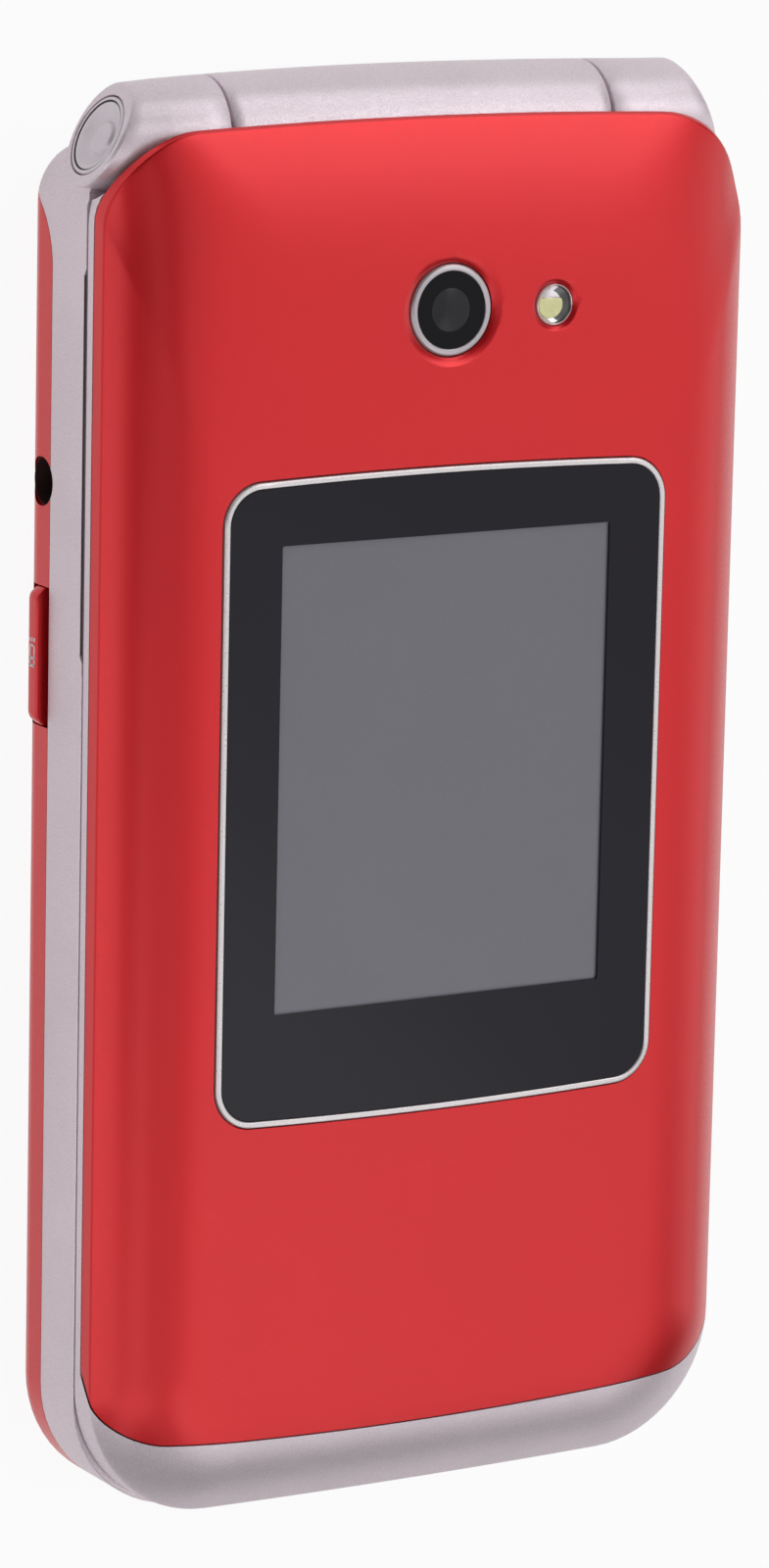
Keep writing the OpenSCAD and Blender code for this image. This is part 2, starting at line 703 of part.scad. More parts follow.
module keypad_holes() {
    g = 2 * key_fit;
    for (row = [0:3], col = [-1:1])
        block(key_w + g, key_l + g, 1.6, col * (key_w + key_gap), keys_y + key_l / 2 + row * row_pitch,
            ledge_z - 1, 5);
    for (sx = [-1, 1], sy = [-1, 1])
        block(side_w + g, side_l + g, 1.6, sx * side_x, nav_y + sy * (side_l + key_gap) / 2, ledge_z - 1, 5);
    block(nav_w + g, nav_l + g, 6, 0, nav_y, ledge_z - 1, 5);
}

module keypad_plate() {
    color([0.75, 0.73, 0.75]) difference() {
        plan_prism(hw - plate_inset - seat, chin_y + plate_inset + seat, inside_top_y + 1 - seat,
            chin_corner_r - plate_inset, 2, ledge_z, plate_z);
        keypad_holes();
        translate([0, keys_y - 1.9, ledge_z - 1]) cylinder(r = 0.5, h = 5);
    }
}

module keypad_mat() {
    z = board_z + board_t;
    color([0.85, 0.85, 0.86]) {
        block(pad_w + 2 * flange, pad_top_y - keys_y, 1, 0, (pad_top_y + keys_y) / 2, z, mat_t);
        for (row = [0:3], col = [-1:1])
            translate([col * (key_w + key_gap), keys_y + key_l / 2 + row * row_pitch, z])
                cylinder(r = 1.5, h = mat_t + pip_h);
        for (sx = [-1, 1], sy = [-1, 1])
            translate([sx * side_x, nav_y + sy * (side_l + key_gap) / 2, z])
                cylinder(r = 1.5, h = mat_t + pip_h);
    }
}

can_inset = 5;
can_w = 14;
can_l = 9;
can_t = 1.2;
module main_board() {
    bottom = chin_y + housing_wall + 0.4;
    color("darkgreen") difference() {
        union() {
            plan_prism(hw - housing_wall - 0.5, bottom, inside_top_y - 0.4,
                chin_corner_r - 2, 1, board_z, board_z + board_t);
            // shield can below the board, at the chin end
            translate([-hw + can_inset, chin_y + can_inset, board_z - can_t]) cube([can_w, can_l, can_t + e]);
        }
        for (sx = [-1, 1], p = screws) translate([sx * p[0], p[1], board_z - 2]) cylinder(r = boss_r + 0.3, h = 5);
        jack_bore(jack_w / 2 + 0.2, -hw, -hw + jack_inset + jack_l - 1);
    }
}

battery_top_y = jack_y - 4.2;
battery_y = battery_top_y - battery_l / 2;
battery_z = rear_wall + 0.3;
tray_wall = 1;
contacts_x = 9;
contacts_w = 10;
speaker_w = 16;
speaker_from_wall = 2.8;
speaker_from_battery = 7.21;
speaker_l = inside_top_y - speaker_from_wall - battery_top_y - speaker_from_battery;
speaker_t = 3.4;
speaker_x = 11;
speaker_y = inside_top_y - speaker_l / 2 - speaker_from_wall;
card_w = 18;
card_l = 14;
key_room = 6.4;
stem_l = 4;
jack_w = 6.2;
jack_h = 5.2;
jack_l = 13;
jack_inset = 3;

module rear_chassis() {
    inset = 3.2;
    low_z = back_z(inset) + 0.15;
    corner_r = chin_corner_r - inset + 1;
    color([0.16, 0.16, 0.17]) difference() {
        union() {
            plan_prism(hw - housing_wall - seat, chin_y + housing_wall + seat, inside_top_y - seat,
                chin_corner_r - housing_wall, 1, chassis_z, chassis_z + chassis_t);
            difference() {
                plan_prism(hw - inset, chin_y + inset, inside_top_y - 1.2, corner_r, 1, low_z, chassis_z + e);
                plan_prism(hw - inset - tray_wall, chin_y + inset + tray_wall, inside_top_y - 1.2 - tray_wall,
                    corner_r - tray_wall, 1, 0, chassis_z);
            }
            difference() {
                block(battery_w + 2 * tray_wall + 0.4, battery_l + 2 * tray_wall + 0.4, 1.5, 0, battery_y,
                    rear_wall + 0.4, chassis_z - rear_wall - 0.4 + e);
                block(battery_w + 0.4, battery_l + 0.4, 0.8, 0, battery_y, 0, chassis_z);
            }
        }
        // openings for the sockets, side keys, contacts, card holder and shield can
        translate([-hw, jack_y - jack_w / 2 - 0.3, 0])
            cube([jack_inset + jack_l + 0.2, jack_w + 0.6, chassis_z + 5]);
        translate([-usb_w / 2 - 0.4, chin_y, 0]) cube([usb_w + 0.8, usb_l + 4, chassis_z + 5]);
        for (sx = [-1, 1])
            translate([sx * (hw - key_room / 2) - key_room / 2, side_key_y - stem_l / 2 - 0.4, side_key_z - 0.5])
                cube([key_room, stem_l + 0.8, rear_side_h - side_key_z + 0.5]);
        translate([contacts_x - contacts_w / 2 - 0.2, battery_top_y - 1, 0])
            cube([contacts_w + 0.4, 3.2, chassis_z + 5]);
        translate([-card_w / 2 - 0.2, battery_y - card_l / 2 - 0.2, chassis_z - 1])
            cube([card_w + 0.4, card_l + 0.4, 5]);
        translate([-hw + can_inset - 0.2, chin_y + can_inset - 0.2, chassis_z - 1])
            cube([can_w + 0.4, can_l + 0.4, 5]);
        for (sx = [-1, 1], p = screws) translate([sx * p[0], p[1], chassis_z - 1]) cylinder(r = 0.9, h = 5);
        for (sx = [-1, 1], p = screws) translate([sx * p[0], p[1], 0]) cylinder(r = 1.7, h = chassis_z);
    }
}

module chassis_screws() {
    color("gray") for (sx = [-1, 1], p = screws) translate([sx * p[0], p[1], chassis_z - 0.8]) difference() {
        union() {
            cylinder(r = 1.4, h = 0.8);
            cylinder(r = 0.78, h = 0.8 + chassis_t + 1.2);
        }
        translate([0, 0, -1]) cylinder(r = 0.55, h = 1.4, $fn = 6);
    }
}

module battery() {
    color([0.2, 0.2, 0.22]) block(battery_w, battery_l, 0.7, 0, battery_y, battery_z, battery_t);
}

module battery_contacts() {
    color("goldenrod") {
        translate([contacts_x - contacts_w / 2, battery_top_y + 0.3, battery_z + 0.4])
            cube([contacts_w, 1.7, board_z - battery_z - 0.5]);
        for (i = [-1:1])
            translate([contacts_x + i * contacts_w * 0.3 - 0.5, battery_top_y + 0.05, battery_z + 1.4])
                cube([1, 1, 2]);
    }
}

module sim_holder() {
    color("silver") difference() {
        translate([-card_w / 2, battery_y - card_l / 2, chassis_z - 0.15])
            cube([card_w, card_l, board_z - chassis_z + 0.1]);
        translate([-card_w / 2 + 1.4, battery_y - card_l / 2 + 1, chassis_z + 0.1])
            cube([card_w - 2.8, card_l, 0.75]);
    }
}

module jack_socket() {
    x0 = -hw + jack_inset;
    color([0.1, 0.1, 0.1]) difference() {
        union() {
            translate([x0, jack_y - jack_w / 2, jack_z - jack_h / 2]) cube([jack_l, jack_w, jack_h]);
            jack_bore(jack_h / 2, x0, x0 + jack_l);
        }
        jack_bore(jack_r, x0 - 1, x0 + jack_l - 1);
    }
}

module usb_socket() {
    y0 = chin_y + 0.9;
    color("silver") difference() {
        translate([-usb_w / 2, y0, usb_z]) cube([usb_w, usb_l, usb_h]);
        translate([-usb_w / 2 + 0.3, y0 - 1, usb_z + 0.3]) cube([usb_w - 0.6, usb_l, usb_h - 0.6]);
    }
    color([0.1, 0.1, 0.1]) translate([-usb_w / 2 + 1.2, y0 + 0.6, usb_z + 1])
        cube([usb_w - 2.4, usb_l - 1, 0.6]);
}

module loudspeaker() {
    color([0.15, 0.15, 0.15])
        block(speaker_w, speaker_l, 2, speaker_x, speaker_y, rear_wall + 0.5, speaker_t);
}

motor_r = 3;
motor_t = 2.6;
module vibration_motor() {
    color("silver") translate([-hw + 3.5 * motor_r, chin_y + 4.6 + motor_r, rear_wall + 0.6])
        cylinder(r = motor_r, h = motor_t);
}

module microphone() {
    color("gold") translate([-1.5, keys_y - 3.2, board_z + board_t]) cube([3, 2, 0.6]);
}

antenna_t = 3.9;
antenna_from_side = 8.5;
antenna_from_chin = 5.2;
antenna_from_battery = 5.7;
antenna_to_usb = 1;
antenna_w = hw - antenna_from_side - usb_w / 2 - antenna_to_usb;
module antenna() {
    low_y = chin_y + antenna_from_chin;
    l = battery_top_y - battery_l - antenna_from_battery - low_y;
    color([0.25, 0.22, 0.2]) block(antenna_w, l, min(1, l / 3), hw - antenna_w / 2 - antenna_from_side,
        low_y + l / 2, rear_wall + 0.9, antenna_t);
}

module speaker_slots() {
    for (i = [-2:2])
        block(1, speaker_l * 0.6, 0.49, speaker_x + i * speaker_w / 7.3, speaker_y, -1, rear_wall + 2);
}

module rear_cover() {
    color("crimson") difference() {
        intersection() {
            base_form();
            rear_zone();
        }
        base_form(rear_wall);
        jack_bore(jack_r + 0.1, -hw - 1, -hw + 4);
        usb_opening();
        translate([-hw - 1, side_key_y - torch_l / 2 - 0.15, side_key_z - 0.15])
            cube([4, torch_l + 0.3, 5]);
        translate([hw - 3, side_key_y - volume_l / 2 - 0.25, side_key_z - 0.15])
            cube([4, volume_l + 0.5, 5]);
        speaker_slots();
        // fingernail notch on the chin edge
        translate([14, chin_y, rear_side_h]) rotate([0, 90, 0]) cylinder(r = 0.7, h = 8);
    }
}

// Side key: a bevelled bar on the left side wall, with a flange behind the rear cover's wall
module side_key(l, flange_gap) {
    x1 = -hw - side_key_proud;
    inner = -hw + rear_wall + flange_gap;
    bevel = 0.5;
    y = side_key_y;
    translate([0, 0, side_key_z]) linear_extrude(side_key_h)
        polygon([[inner, y - l / 2], [x1 + bevel, y - l / 2], [x1, y - l / 2 + bevel * 1.6],
            [x1, y + l / 2 - bevel * 1.6], [x1 + bevel, y + l / 2], [inner, y + l / 2]]);
    translate([inner - e, y - l / 2 - 0.6, side_key_z]) cube([0.7, l + 1.2, side_key_h]);
    translate([inner, y - stem_l / 2, side_key_z]) cube([1.9, stem_l, side_key_h]);
}

module torch_key() { color("crimson") side_key(torch_l, 0.6); }
module volume_key() { color("crimson") mirror([1, 0, 0]) side_key(volume_l, 0.95); }

module nav_plate() {
    color("silver") difference() {
        block(ok_w + 3.2, ok_w + 3.2, 3.5, 0, nav_y, board_z + board_t + mat_t + 0.12, 0.09);
        block(ok_w + 1.2, ok_w + 1.2, 2, 0, nav_y, board_z, 5);
    }
}

module nav_ring() {
    crown = 60;
    color([0.2, 0.2, 0.21]) difference() {
        union() {
            intersection() {
                block(nav_w, nav_l, 6, 0, nav_y, ledge_z - 0.1, 3);
                rod_x(crown, -nav_w, nav_w, nav_y, key_top_z - crown);
            }
            // the neck and flange hang low, so that the ring can tilt below the plate
            block(nav_w - 1.2, nav_l - 1.2, 5.4, 0, nav_y, ledge_z - 0.35, 0.3);
            block(nav_w + 2 * flange, nav_l + 2 * flange, 6, 0, nav_y, ledge_z - 0.55, 0.2);
        }
        block(ok_w + 0.6, ok_w + 0.6, 3, 0, nav_y, ledge_z - 1, 5);
    }
}

module ok_key() {
    color([0.75, 0.73, 0.75]) block(ok_w, ok_w, 2.7, 0, nav_y, ledge_z - 0.35, key_top_z - ledge_z + 0.35 - 0.1);
}

module number_key(col, row) {
    y = keys_y + key_l / 2 + (3 - row) * row_pitch;
    color([0.2, 0.2, 0.21]) key_body(key_w, key_l, col * (key_w + key_gap), y);
}

module upper_key(sx, sy, tint) {
    color(tint) key_body(side_w, side_l, sx * side_x, nav_y + sy * (side_l + key_gap) / 2);
}

module soft_key_left() { upper_key(-1, 1, [0.2, 0.2, 0.21]); }
module soft_key_right() { upper_key(1, 1, [0.2, 0.2, 0.21]); }
module call_key() { upper_key(-1, -1, "seagreen"); }
module end_key() { upper_key(1, -1, "crimson"); }

lid_cover();
lid_frame();
lid_bezel();
outer_window();
outer_window_trim();
outer_lcd();
camera_ring();
camera_window();
camera_module();
flash_lens();
flash_led();
lid_board();
inner_lcd();
inner_window();
earpiece();
earpiece_mesh();
lid_bumpers();
hinge_cartridge();
front_housing();
keypad_plate();
keypad_mat();
main_board();
rear_chassis();
jack_socket();
usb_socket();
loudspeaker();
vibration_motor();
microphone();
sim_holder();
battery_contacts();
antenna();
hinge_cap_left();
hinge_cap_right();
hinge_bush();
chassis_screws();
rear_cover();
battery();
torch_key();
volume_key();
nav_plate();
nav_ring();
ok_key();
soft_key_left();
soft_key_right();
call_key();
end_key();
number_key(-1, 0);  // key_1
number_key(0, 0);  // key_2
number_key(1, 0);  // key_3
number_key(-1, 1);  // key_4
number_key(0, 1);  // key_5
number_key(1, 1);  // key_6
number_key(-1, 2);  // key_7
number_key(0, 2);  // key_8
number_key(1, 2);  // key_9
number_key(-1, 3);  // key_star
number_key(0, 3);  // key_0
number_key(1, 3);  // key_hash
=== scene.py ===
"""Looks of a closed flip phone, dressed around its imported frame.

The frame gives every body and node. Each class below stands for one sub-assembly of the phone, holds its
sizes in millimetres, builds its pieces in metres in the frame's place, and gives them their finishes.
"""

from __future__ import annotations

import json
import logging
import math
from collections.abc import Callable, Sequence
from dataclasses import dataclass
from enum import Enum

import bmesh
import bpy
from mathutils import Matrix, Vector

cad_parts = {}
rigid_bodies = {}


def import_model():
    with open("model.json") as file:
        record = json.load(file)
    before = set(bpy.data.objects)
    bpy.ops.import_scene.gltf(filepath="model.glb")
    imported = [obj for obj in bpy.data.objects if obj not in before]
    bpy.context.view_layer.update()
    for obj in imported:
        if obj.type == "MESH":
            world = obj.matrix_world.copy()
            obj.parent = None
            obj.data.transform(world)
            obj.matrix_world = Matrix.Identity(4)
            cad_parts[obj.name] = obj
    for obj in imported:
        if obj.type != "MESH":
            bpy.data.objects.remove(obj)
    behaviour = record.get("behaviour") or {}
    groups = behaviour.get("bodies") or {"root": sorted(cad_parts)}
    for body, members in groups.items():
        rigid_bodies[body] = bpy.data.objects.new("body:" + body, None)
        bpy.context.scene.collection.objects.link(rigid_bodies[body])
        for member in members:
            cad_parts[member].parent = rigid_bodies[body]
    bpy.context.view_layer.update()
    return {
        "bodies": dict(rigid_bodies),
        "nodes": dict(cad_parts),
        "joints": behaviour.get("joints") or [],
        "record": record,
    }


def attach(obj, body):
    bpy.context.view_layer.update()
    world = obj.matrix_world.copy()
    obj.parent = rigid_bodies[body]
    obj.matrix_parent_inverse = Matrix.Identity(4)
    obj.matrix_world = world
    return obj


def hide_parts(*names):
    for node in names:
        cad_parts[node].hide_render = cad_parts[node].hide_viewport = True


LOG = logging.getLogger("flip_phone")
MM = 0.001
FRAME: dict = {}

Flat = list[tuple[float, float]]
Ring = list[tuple[float, float, float]]
Piece = bpy.types.Object


class Carve(Enum):
    """What a carving tool does to a piece."""

    CUT = "DIFFERENCE"
    KEEP = "INTERSECT"
    JOIN = "UNION"


class Side(Enum):
    """The phone's two sides, seen from above with the hinge away."""

    LEFT = -1
    RIGHT = 1

    def of(self, pair: tuple[float, float]) -> float:
        """Picks this side's value out of a left and right pair."""
        return pair[self is Side.RIGHT]


# --- Modelling bench -------------------------------------------------------------------------------


def deselect() -> None:
    """Leaves edit mode and selects nothing."""
    if bpy.context.object and bpy.context.object.mode != "OBJECT":
        bpy.ops.object.mode_set(mode="OBJECT")
    bpy.ops.object.select_all(action="DESELECT")


def pick(*pieces: Piece) -> None:
    """Selects these pieces and makes the last one active."""
    deselect()
    for piece in pieces:
        piece.select_set(True)
    bpy.context.view_layer.objects.active = pieces[-1]


def edit(piece: Piece, *steps: Callable[[], object]) -> None:
    """Runs edit-mode operators on the whole of a piece.

    Args:
        piece: The piece to edit.
        steps: Calls that run one after another with everything selected before the first.
    """
    pick(piece)
    bpy.ops.object.mode_set(mode="EDIT")
    bpy.ops.mesh.select_all(action="SELECT")
    for step in steps:
        step()
    bpy.ops.object.mode_set(mode="OBJECT")


def loft(name: str, rings: Sequence[Ring], closed: bool = False) -> Piece:
    """Draws a circle and extrudes it from one outline to the next.

    Args:
        name: Name of the piece.
        rings: Outlines with the same number of points, in millimetres.
        closed: Joins the last outline to the first, as in a tube, instead of capping both.

    Returns:
        The solid piece.
    """
    deselect()
    count = len(rings[0])
    bpy.ops.mesh.primitive_circle_add(vertices=count, radius=MM)
    piece = bpy.context.object
    for vertex, point in zip(piece.data.vertices, rings[0]):
        vertex.co = Vector(point) * MM
    bpy.ops.object.mode_set(mode="EDIT")
    bpy.ops.mesh.select_all(action="SELECT")
    lanes = list(range(count))
    for ring in list(rings[1:]) + ([rings[0]] if closed else []):
        bpy.ops.mesh.extrude_region()
        mesh = bmesh.from_edit_mesh(piece.data)
        mesh.verts.index_update()
        mesh.verts.ensure_lookup_table()
        fresh = []
        for lane, point in zip(lanes, ring):
            old = mesh.verts[lane]
            new = next(v for e in old.link_edges if (v := e.other_vert(old)).select)
            new.co = Vector(point) * MM
            fresh.append(new.index)
        lanes = fresh
        bmesh.update_edit_mesh(piece.data)
    bpy.ops.mesh.select_all(action="SELECT")
    if closed:
        bpy.ops.mesh.remove_doubles(threshold=1e-8)
    else:
        bpy.ops.mesh.fill_holes(sides=0)
    bpy.ops.mesh.normals_make_consistent(inside=False)
    bpy.ops.object.mode_set(mode="OBJECT")
    piece.name = piece.data.name = name
    return piece


def lift(flat: Flat, z: float | Sequence[float]) -> Ring:
    """Sets a plan outline at one height, or each of its points at its own."""
    if isinstance(z, (int, float)):
        return [(x, y, z) for x, y in flat]
    return [(x, y, height) for (x, y), height in zip(flat, z)]


def prism(name: str, flat: Flat, low: float, high: float) -> Piece:
    """Upright prism over a plan outline."""
    return loft(name, [lift(flat, low), lift(flat, high)])


def full_turn(count: int) -> list[float]:
    """Angles that part a full turn into equal steps."""
    return [math.tau * i / count for i in range(count)]


def circle(x: float, y: float, radius: float, count: int = 96) -> Flat:
    """Plan circle about a point."""
    return [(x + radius * math.cos(a), y + radius * math.sin(a)) for a in full_turn(count)]


def hoop(x: float, y: float, z: float, radius: float, count: int) -> Ring:
    """Upright circle about an axis across the phone."""
    return [(x, b, c) for b, c in circle(y, z, radius, count)]


def turned(name: str, x: float, y: float, profile: Sequence[tuple[float, float]],
           closed: bool = False, count: int = 96) -> Piece:
    """Round piece about an upright axis.

    Args:
        name: Name of the piece.
        x: Place of the axis across the phone.
        y: Place of the axis along the phone.
        profile: Radius and height of each ring.
        closed: Joins the last ring to the first, for a ring-shaped piece.
        count: Points round the axis.

    Returns:
        The piece.
    """
    return loft(name, [lift(circle(x, y, r, count), z) for r, z in profile], closed)


def arc(x: float, y: float, r: float, start: float, steps: int) -> Flat:
    """Quarter arc of steps + 1 points from an angle in degrees, anticlockwise."""
    angles = [math.radians(start + 90 * i / steps) for i in range(steps + 1)]
    return [(x + r * math.cos(a), y + r * math.sin(a)) for a in angles]


def mix(a: float, b: float, t: float) -> float:
    """Value a share t of the way from a to b."""
    return a + (b - a) * t


def smooth(a: float, b: float, v: float) -> float:
    """Smooth step of v from a to b."""
    t = min(1.0, max(0.0, (v - a) / (b - a)))
    return t * t * (3 - 2 * t)


def plan(w: float, low: float, high: float, r_low: float, r_high: float, arch: float = 0.4,
         corner: int = 16, ends: int = 20, r_right: float | None = None) -> Flat:
    """Plan outline with round corners and bulging ends, or straight ones where the bulge is nought.

    Args:
        w: Half width.
        low: Lower end at the middle.
        high: Upper end at the middle.
        r_low: Radius of the two lower corners.
        r_high: Radius of the two upper corners.
        arch: Bulge of both ends.
        corner: Steps round each corner.
        ends: Steps along each end.
        r_right: Radius of the upper corner on the right, where it differs.

    Returns:
        The outline, anticlockwise.
    """
    r_right = r_high if r_right is None else r_right
    flat_low, flat_high, middle = low + arch, high - arch, (low + high) / 2
    raw = (arc(w - r_low, flat_low + r_low, r_low, -90, corner)
           + arc(w - r_right, flat_high - r_right, r_right, 0, corner)
           + [(mix(w - r_right, r_high - w, i / ends), flat_high) for i in range(1, ends)]
           + arc(r_high - w, flat_high - r_high, r_high, 90, corner)
           + arc(r_low - w, flat_low + r_low, r_low, 180, corner)
           + [(mix(r_low - w, w - r_low, i / ends), flat_low) for i in range(1, ends)])
    return [(x, y + math.copysign(arch * (1 - (x / w) ** 2), y - middle)) for x, y in raw]


def block(w: float, length: float, r: float, x: float, y: float, steps: int = 8) -> Flat:
    """Plan rectangle with round corners about a point."""
    return ([(px + x, py + y) for px, py in
             arc(w / 2 - r, r - length / 2, r, -90, steps) + arc(w / 2 - r, length / 2 - r, r, 0, steps)
             + arc(r - w / 2, length / 2 - r, r, 90, steps) + arc(r - w / 2, r - length / 2, r, 180, steps)])


def rod(name: str, profile: Sequence[tuple[float, float]], y: float, z: float,
        closed: bool = False, count: int = 128) -> Piece:
    """Round piece about an axis across the phone, from (x, radius) pairs."""
    return loft(name, [hoop(x, y, z, r, count) for x, r in profile], closed)


def work_in(piece: Piece, modifier: bpy.types.Modifier) -> Piece:
    """Applies a modifier to a piece's mesh."""
    pick(piece)
    bpy.ops.object.modifier_apply(modifier=modifier.name)
    return piece


def carve(piece: Piece, tool: Piece, how: Carve = Carve.CUT) -> Piece:
    """Applies a carving tool to a piece and throws the tool away."""
    carving = piece.modifiers.new("carving", "BOOLEAN")
    carving.operation, carving.solver, carving.object = how.value, "EXACT", tool
    work_in(piece, carving)
    bpy.data.objects.remove(tool)
    return piece


def soften(piece: Piece, width: float, angle: float = 40.0, segments: int = 2) -> Piece:
    """Rounds the edges of a piece that are sharper than an angle, by a width in millimetres."""
    rounding = piece.modifiers.new("rounding", "BEVEL")
    rounding.width, rounding.segments = width * MM, segments
    rounding.limit_method, rounding.angle_limit = "ANGLE", math.radians(angle)
    return work_in(piece, rounding)


def shade(piece: Piece, angle: float = 32.0) -> Piece:
    """Shades a piece smooth, apart from edges sharper than an angle, with large faces kept flat."""
    pick(piece)
    bpy.ops.object.shade_smooth_by_angle(angle=math.radians(angle))
    weighting = piece.modifiers.new("weighting", "WEIGHTED_NORMAL")
    weighting.keep_sharp, weighting.weight = True, 50
    return work_in(piece, weighting)


def join(name: str, *pieces: Piece) -> Piece:
    """Makes one piece of several."""
    pick(*pieces)
    if len(pieces) > 1:
        bpy.ops.object.join()
    piece = bpy.context.object
    piece.name = piece.data.name = name
    return piece


def paint(piece: Piece, finishes: Sequence[Finish], choose: Callable[[Vector, Vector], int]) -> Piece:
    """Gives a piece more than one finish.

    Args:
        piece: The piece.
        finishes: Its finishes.
        choose: Tells from a face's middle in millimetres and its normal which finish it takes.

    Returns:
        The piece.
    """
    for finish in finishes:
        piece.data.materials.append(finish.make())
    for face in piece.data.polygons:
        face.material_index = int(choose(face.center / MM, face.normal))
    return piece


def settle(piece: Piece) -> Piece:
    """Puts a piece's place, turn and size into its mesh."""
    pick(piece)
    bpy.ops.object.transform_apply(location=True, rotation=True, scale=True)
    return piece


def place(name: str, data: bpy.types.ID) -> Piece:
    """Puts a new object with a mesh, a lamp or a camera in the scene."""
    thing = bpy.data.objects.new(name, data)
    bpy.context.scene.collection.objects.link(thing)
    return thing


# --- Node trees ------------------------------------------------------------------------------------


def map_range(tree: bpy.types.NodeTree, source: bpy.types.NodeSocket, *limits: float) -> bpy.types.NodeSocket:
    """Maps a value from one range to another.

    Args:
        tree: The node tree.
        source: Output with the value.
        limits: Ends of the first range, then of the second.

    Returns:
        Output with the mapped value.
    """
    node = tree.nodes.new("ShaderNodeMapRange")
    for name, limit in zip(("From Min", "From Max", "To Min", "To Max"), limits):
        node.inputs[name].default_value = limit
    tree.links.new(source, node.inputs["Value"])
    return node.outputs["Result"]


def multiply_add(tree: bpy.types.NodeTree,
                 *terms: bpy.types.NodeSocket | float) -> bpy.types.NodeSocket:
    """Multiplies two terms and adds a third, held between 0 and 1.

    Args:
        tree: The node tree.
        terms: Three terms, each an output or a number.

    Returns:
        Output with the result.
    """
    node = tree.nodes.new("ShaderNodeMath")
    node.operation, node.use_clamp = "MULTIPLY_ADD", True
    for socket, term in zip(node.inputs, terms):
        if isinstance(term, float):
            socket.default_value = term
        else:
            tree.links.new(term, socket)
    return node.outputs[0]


def coordinate(tree: bpy.types.NodeTree, kind: str, axis: str) -> bpy.types.NodeSocket:
    """One axis of a kind of texture coordinates."""
    source, parts = tree.nodes.new("ShaderNodeTexCoord"), tree.nodes.new("ShaderNodeSeparateXYZ")
    tree.links.new(source.outputs[kind], parts.inputs[0])
    return parts.outputs[axis]


# --- Finishes --------------------------------------------------------------------------------------

NOISE_RANGE = (0.3, 0.7)  # holds most of a noise's values
CLOUD_SIZE = 9.0
RELIEF_DEPTH = 0.05


def linear(srgb: tuple[float, float, float]) -> tuple[float, float, float, float]:
    """Turns a display colour of 0 to 255 into a scene colour."""
    parts = [c / 255 for c in srgb]
    return (*[p / 12.92 if p <= 0.04045 else ((p + 0.055) / 1.055) ** 2.4 for p in parts], 1.0)


@dataclass(frozen=True)
class Finish:
    """A surface finish with grain in its colour, gloss and relief.

    Args:
        name: Name of the finish.
        colour: Display colour, 0 to 255.
        metallic: Share of metal.
        roughness: Mean roughness.
        spread: Change of roughness over the surface.
        grain: Share by which the grain lightens and darkens the colour.
        grain_size: Size of the grain in millimetres.
        cloud: Share by which broad clouds lighten and darken the colour.
        relief: Strength of the fine relief.
        relief_size: Size of that relief in millimetres.
        coat: Weight of a clear coat.
        coat_roughness: Roughness of that coat.
        stretch: Stretch of the grain along x, y and z, as for brushed metal.
        specular: Strength of the mirror reflection.
    """

    name: str
    colour: tuple[float, float, float]
    metallic: float = 0.0
    roughness: float = 0.4
    spread: float = 0.06
    grain: float = 0.05
    grain_size: float = 0.12
    cloud: float = 0.015
    relief: float = 0.04
    relief_size: float = 0.2
    coat: float = 0.0
    coat_roughness: float = 0.1
    stretch: tuple[float, float, float] = (1.0, 1.0, 1.0)
    specular: float = 0.5

    def make(self) -> bpy.types.Material:
        """Builds the finish's material.

        Returns:
            The material, made once and shared by the pieces that take it.
        """
        known = bpy.data.materials.get(self.name)
        if known:
            return known
        material = bpy.data.materials.new(self.name)
        material.use_nodes = True
        tree = material.node_tree
        nodes, links = tree.nodes, tree.links
        shader = nodes["Principled BSDF"]
        for socket, value in (("Metallic", self.metallic), ("Specular IOR Level", self.specular),
                              ("Coat Weight", self.coat), ("Coat Roughness", self.coat_roughness)):
            shader.inputs[socket].default_value = value
        mapping = nodes.new("ShaderNodeMapping")
        mapping.inputs["Scale"].default_value = self.stretch
        links.new(nodes.new("ShaderNodeTexCoord").outputs["Object"], mapping.inputs["Vector"])

        def noise(size: float, detail: float) -> bpy.types.NodeSocket:
            """Noise of a size in millimetres."""
            node = nodes.new("ShaderNodeTexNoise")
            node.inputs["Scale"].default_value = 1 / (size * MM)
            node.inputs["Detail"].default_value = detail
            links.new(mapping.outputs["Vector"], node.inputs["Vector"])
            return node.outputs["Fac"]

        def vary(source: bpy.types.NodeSocket, middle: float, share: float) -> bpy.types.NodeSocket:
            """Spreads a noise about a middle value, by a share to both sides."""
            return map_range(tree, source, *NOISE_RANGE, max(0.02, middle - share), middle + share)

        tint = nodes.new("ShaderNodeHueSaturation")
        tint.inputs["Color"].default_value = linear(self.colour)
        brightness = nodes.new("ShaderNodeMath")
        brightness.operation = "MULTIPLY"
        links.new(vary(noise(self.grain_size, 2.0), 1, self.grain), brightness.inputs[0])
        links.new(vary(noise(CLOUD_SIZE, 2.0), 1, self.cloud), brightness.inputs[1])
        links.new(brightness.outputs["Value"], tint.inputs["Value"])
        links.new(tint.outputs["Color"], shader.inputs["Base Color"])
        fine = noise(self.relief_size, 3.0)
        links.new(vary(fine, self.roughness, self.spread), shader.inputs["Roughness"])
        if self.relief > 0:
            bump = nodes.new("ShaderNodeBump")
            bump.inputs["Strength"].default_value = self.relief
            bump.inputs["Distance"].default_value = RELIEF_DEPTH * MM
            links.new(fine, bump.inputs["Height"])
            links.new(bump.outputs["Normal"], shader.inputs["Normal"])
        return material


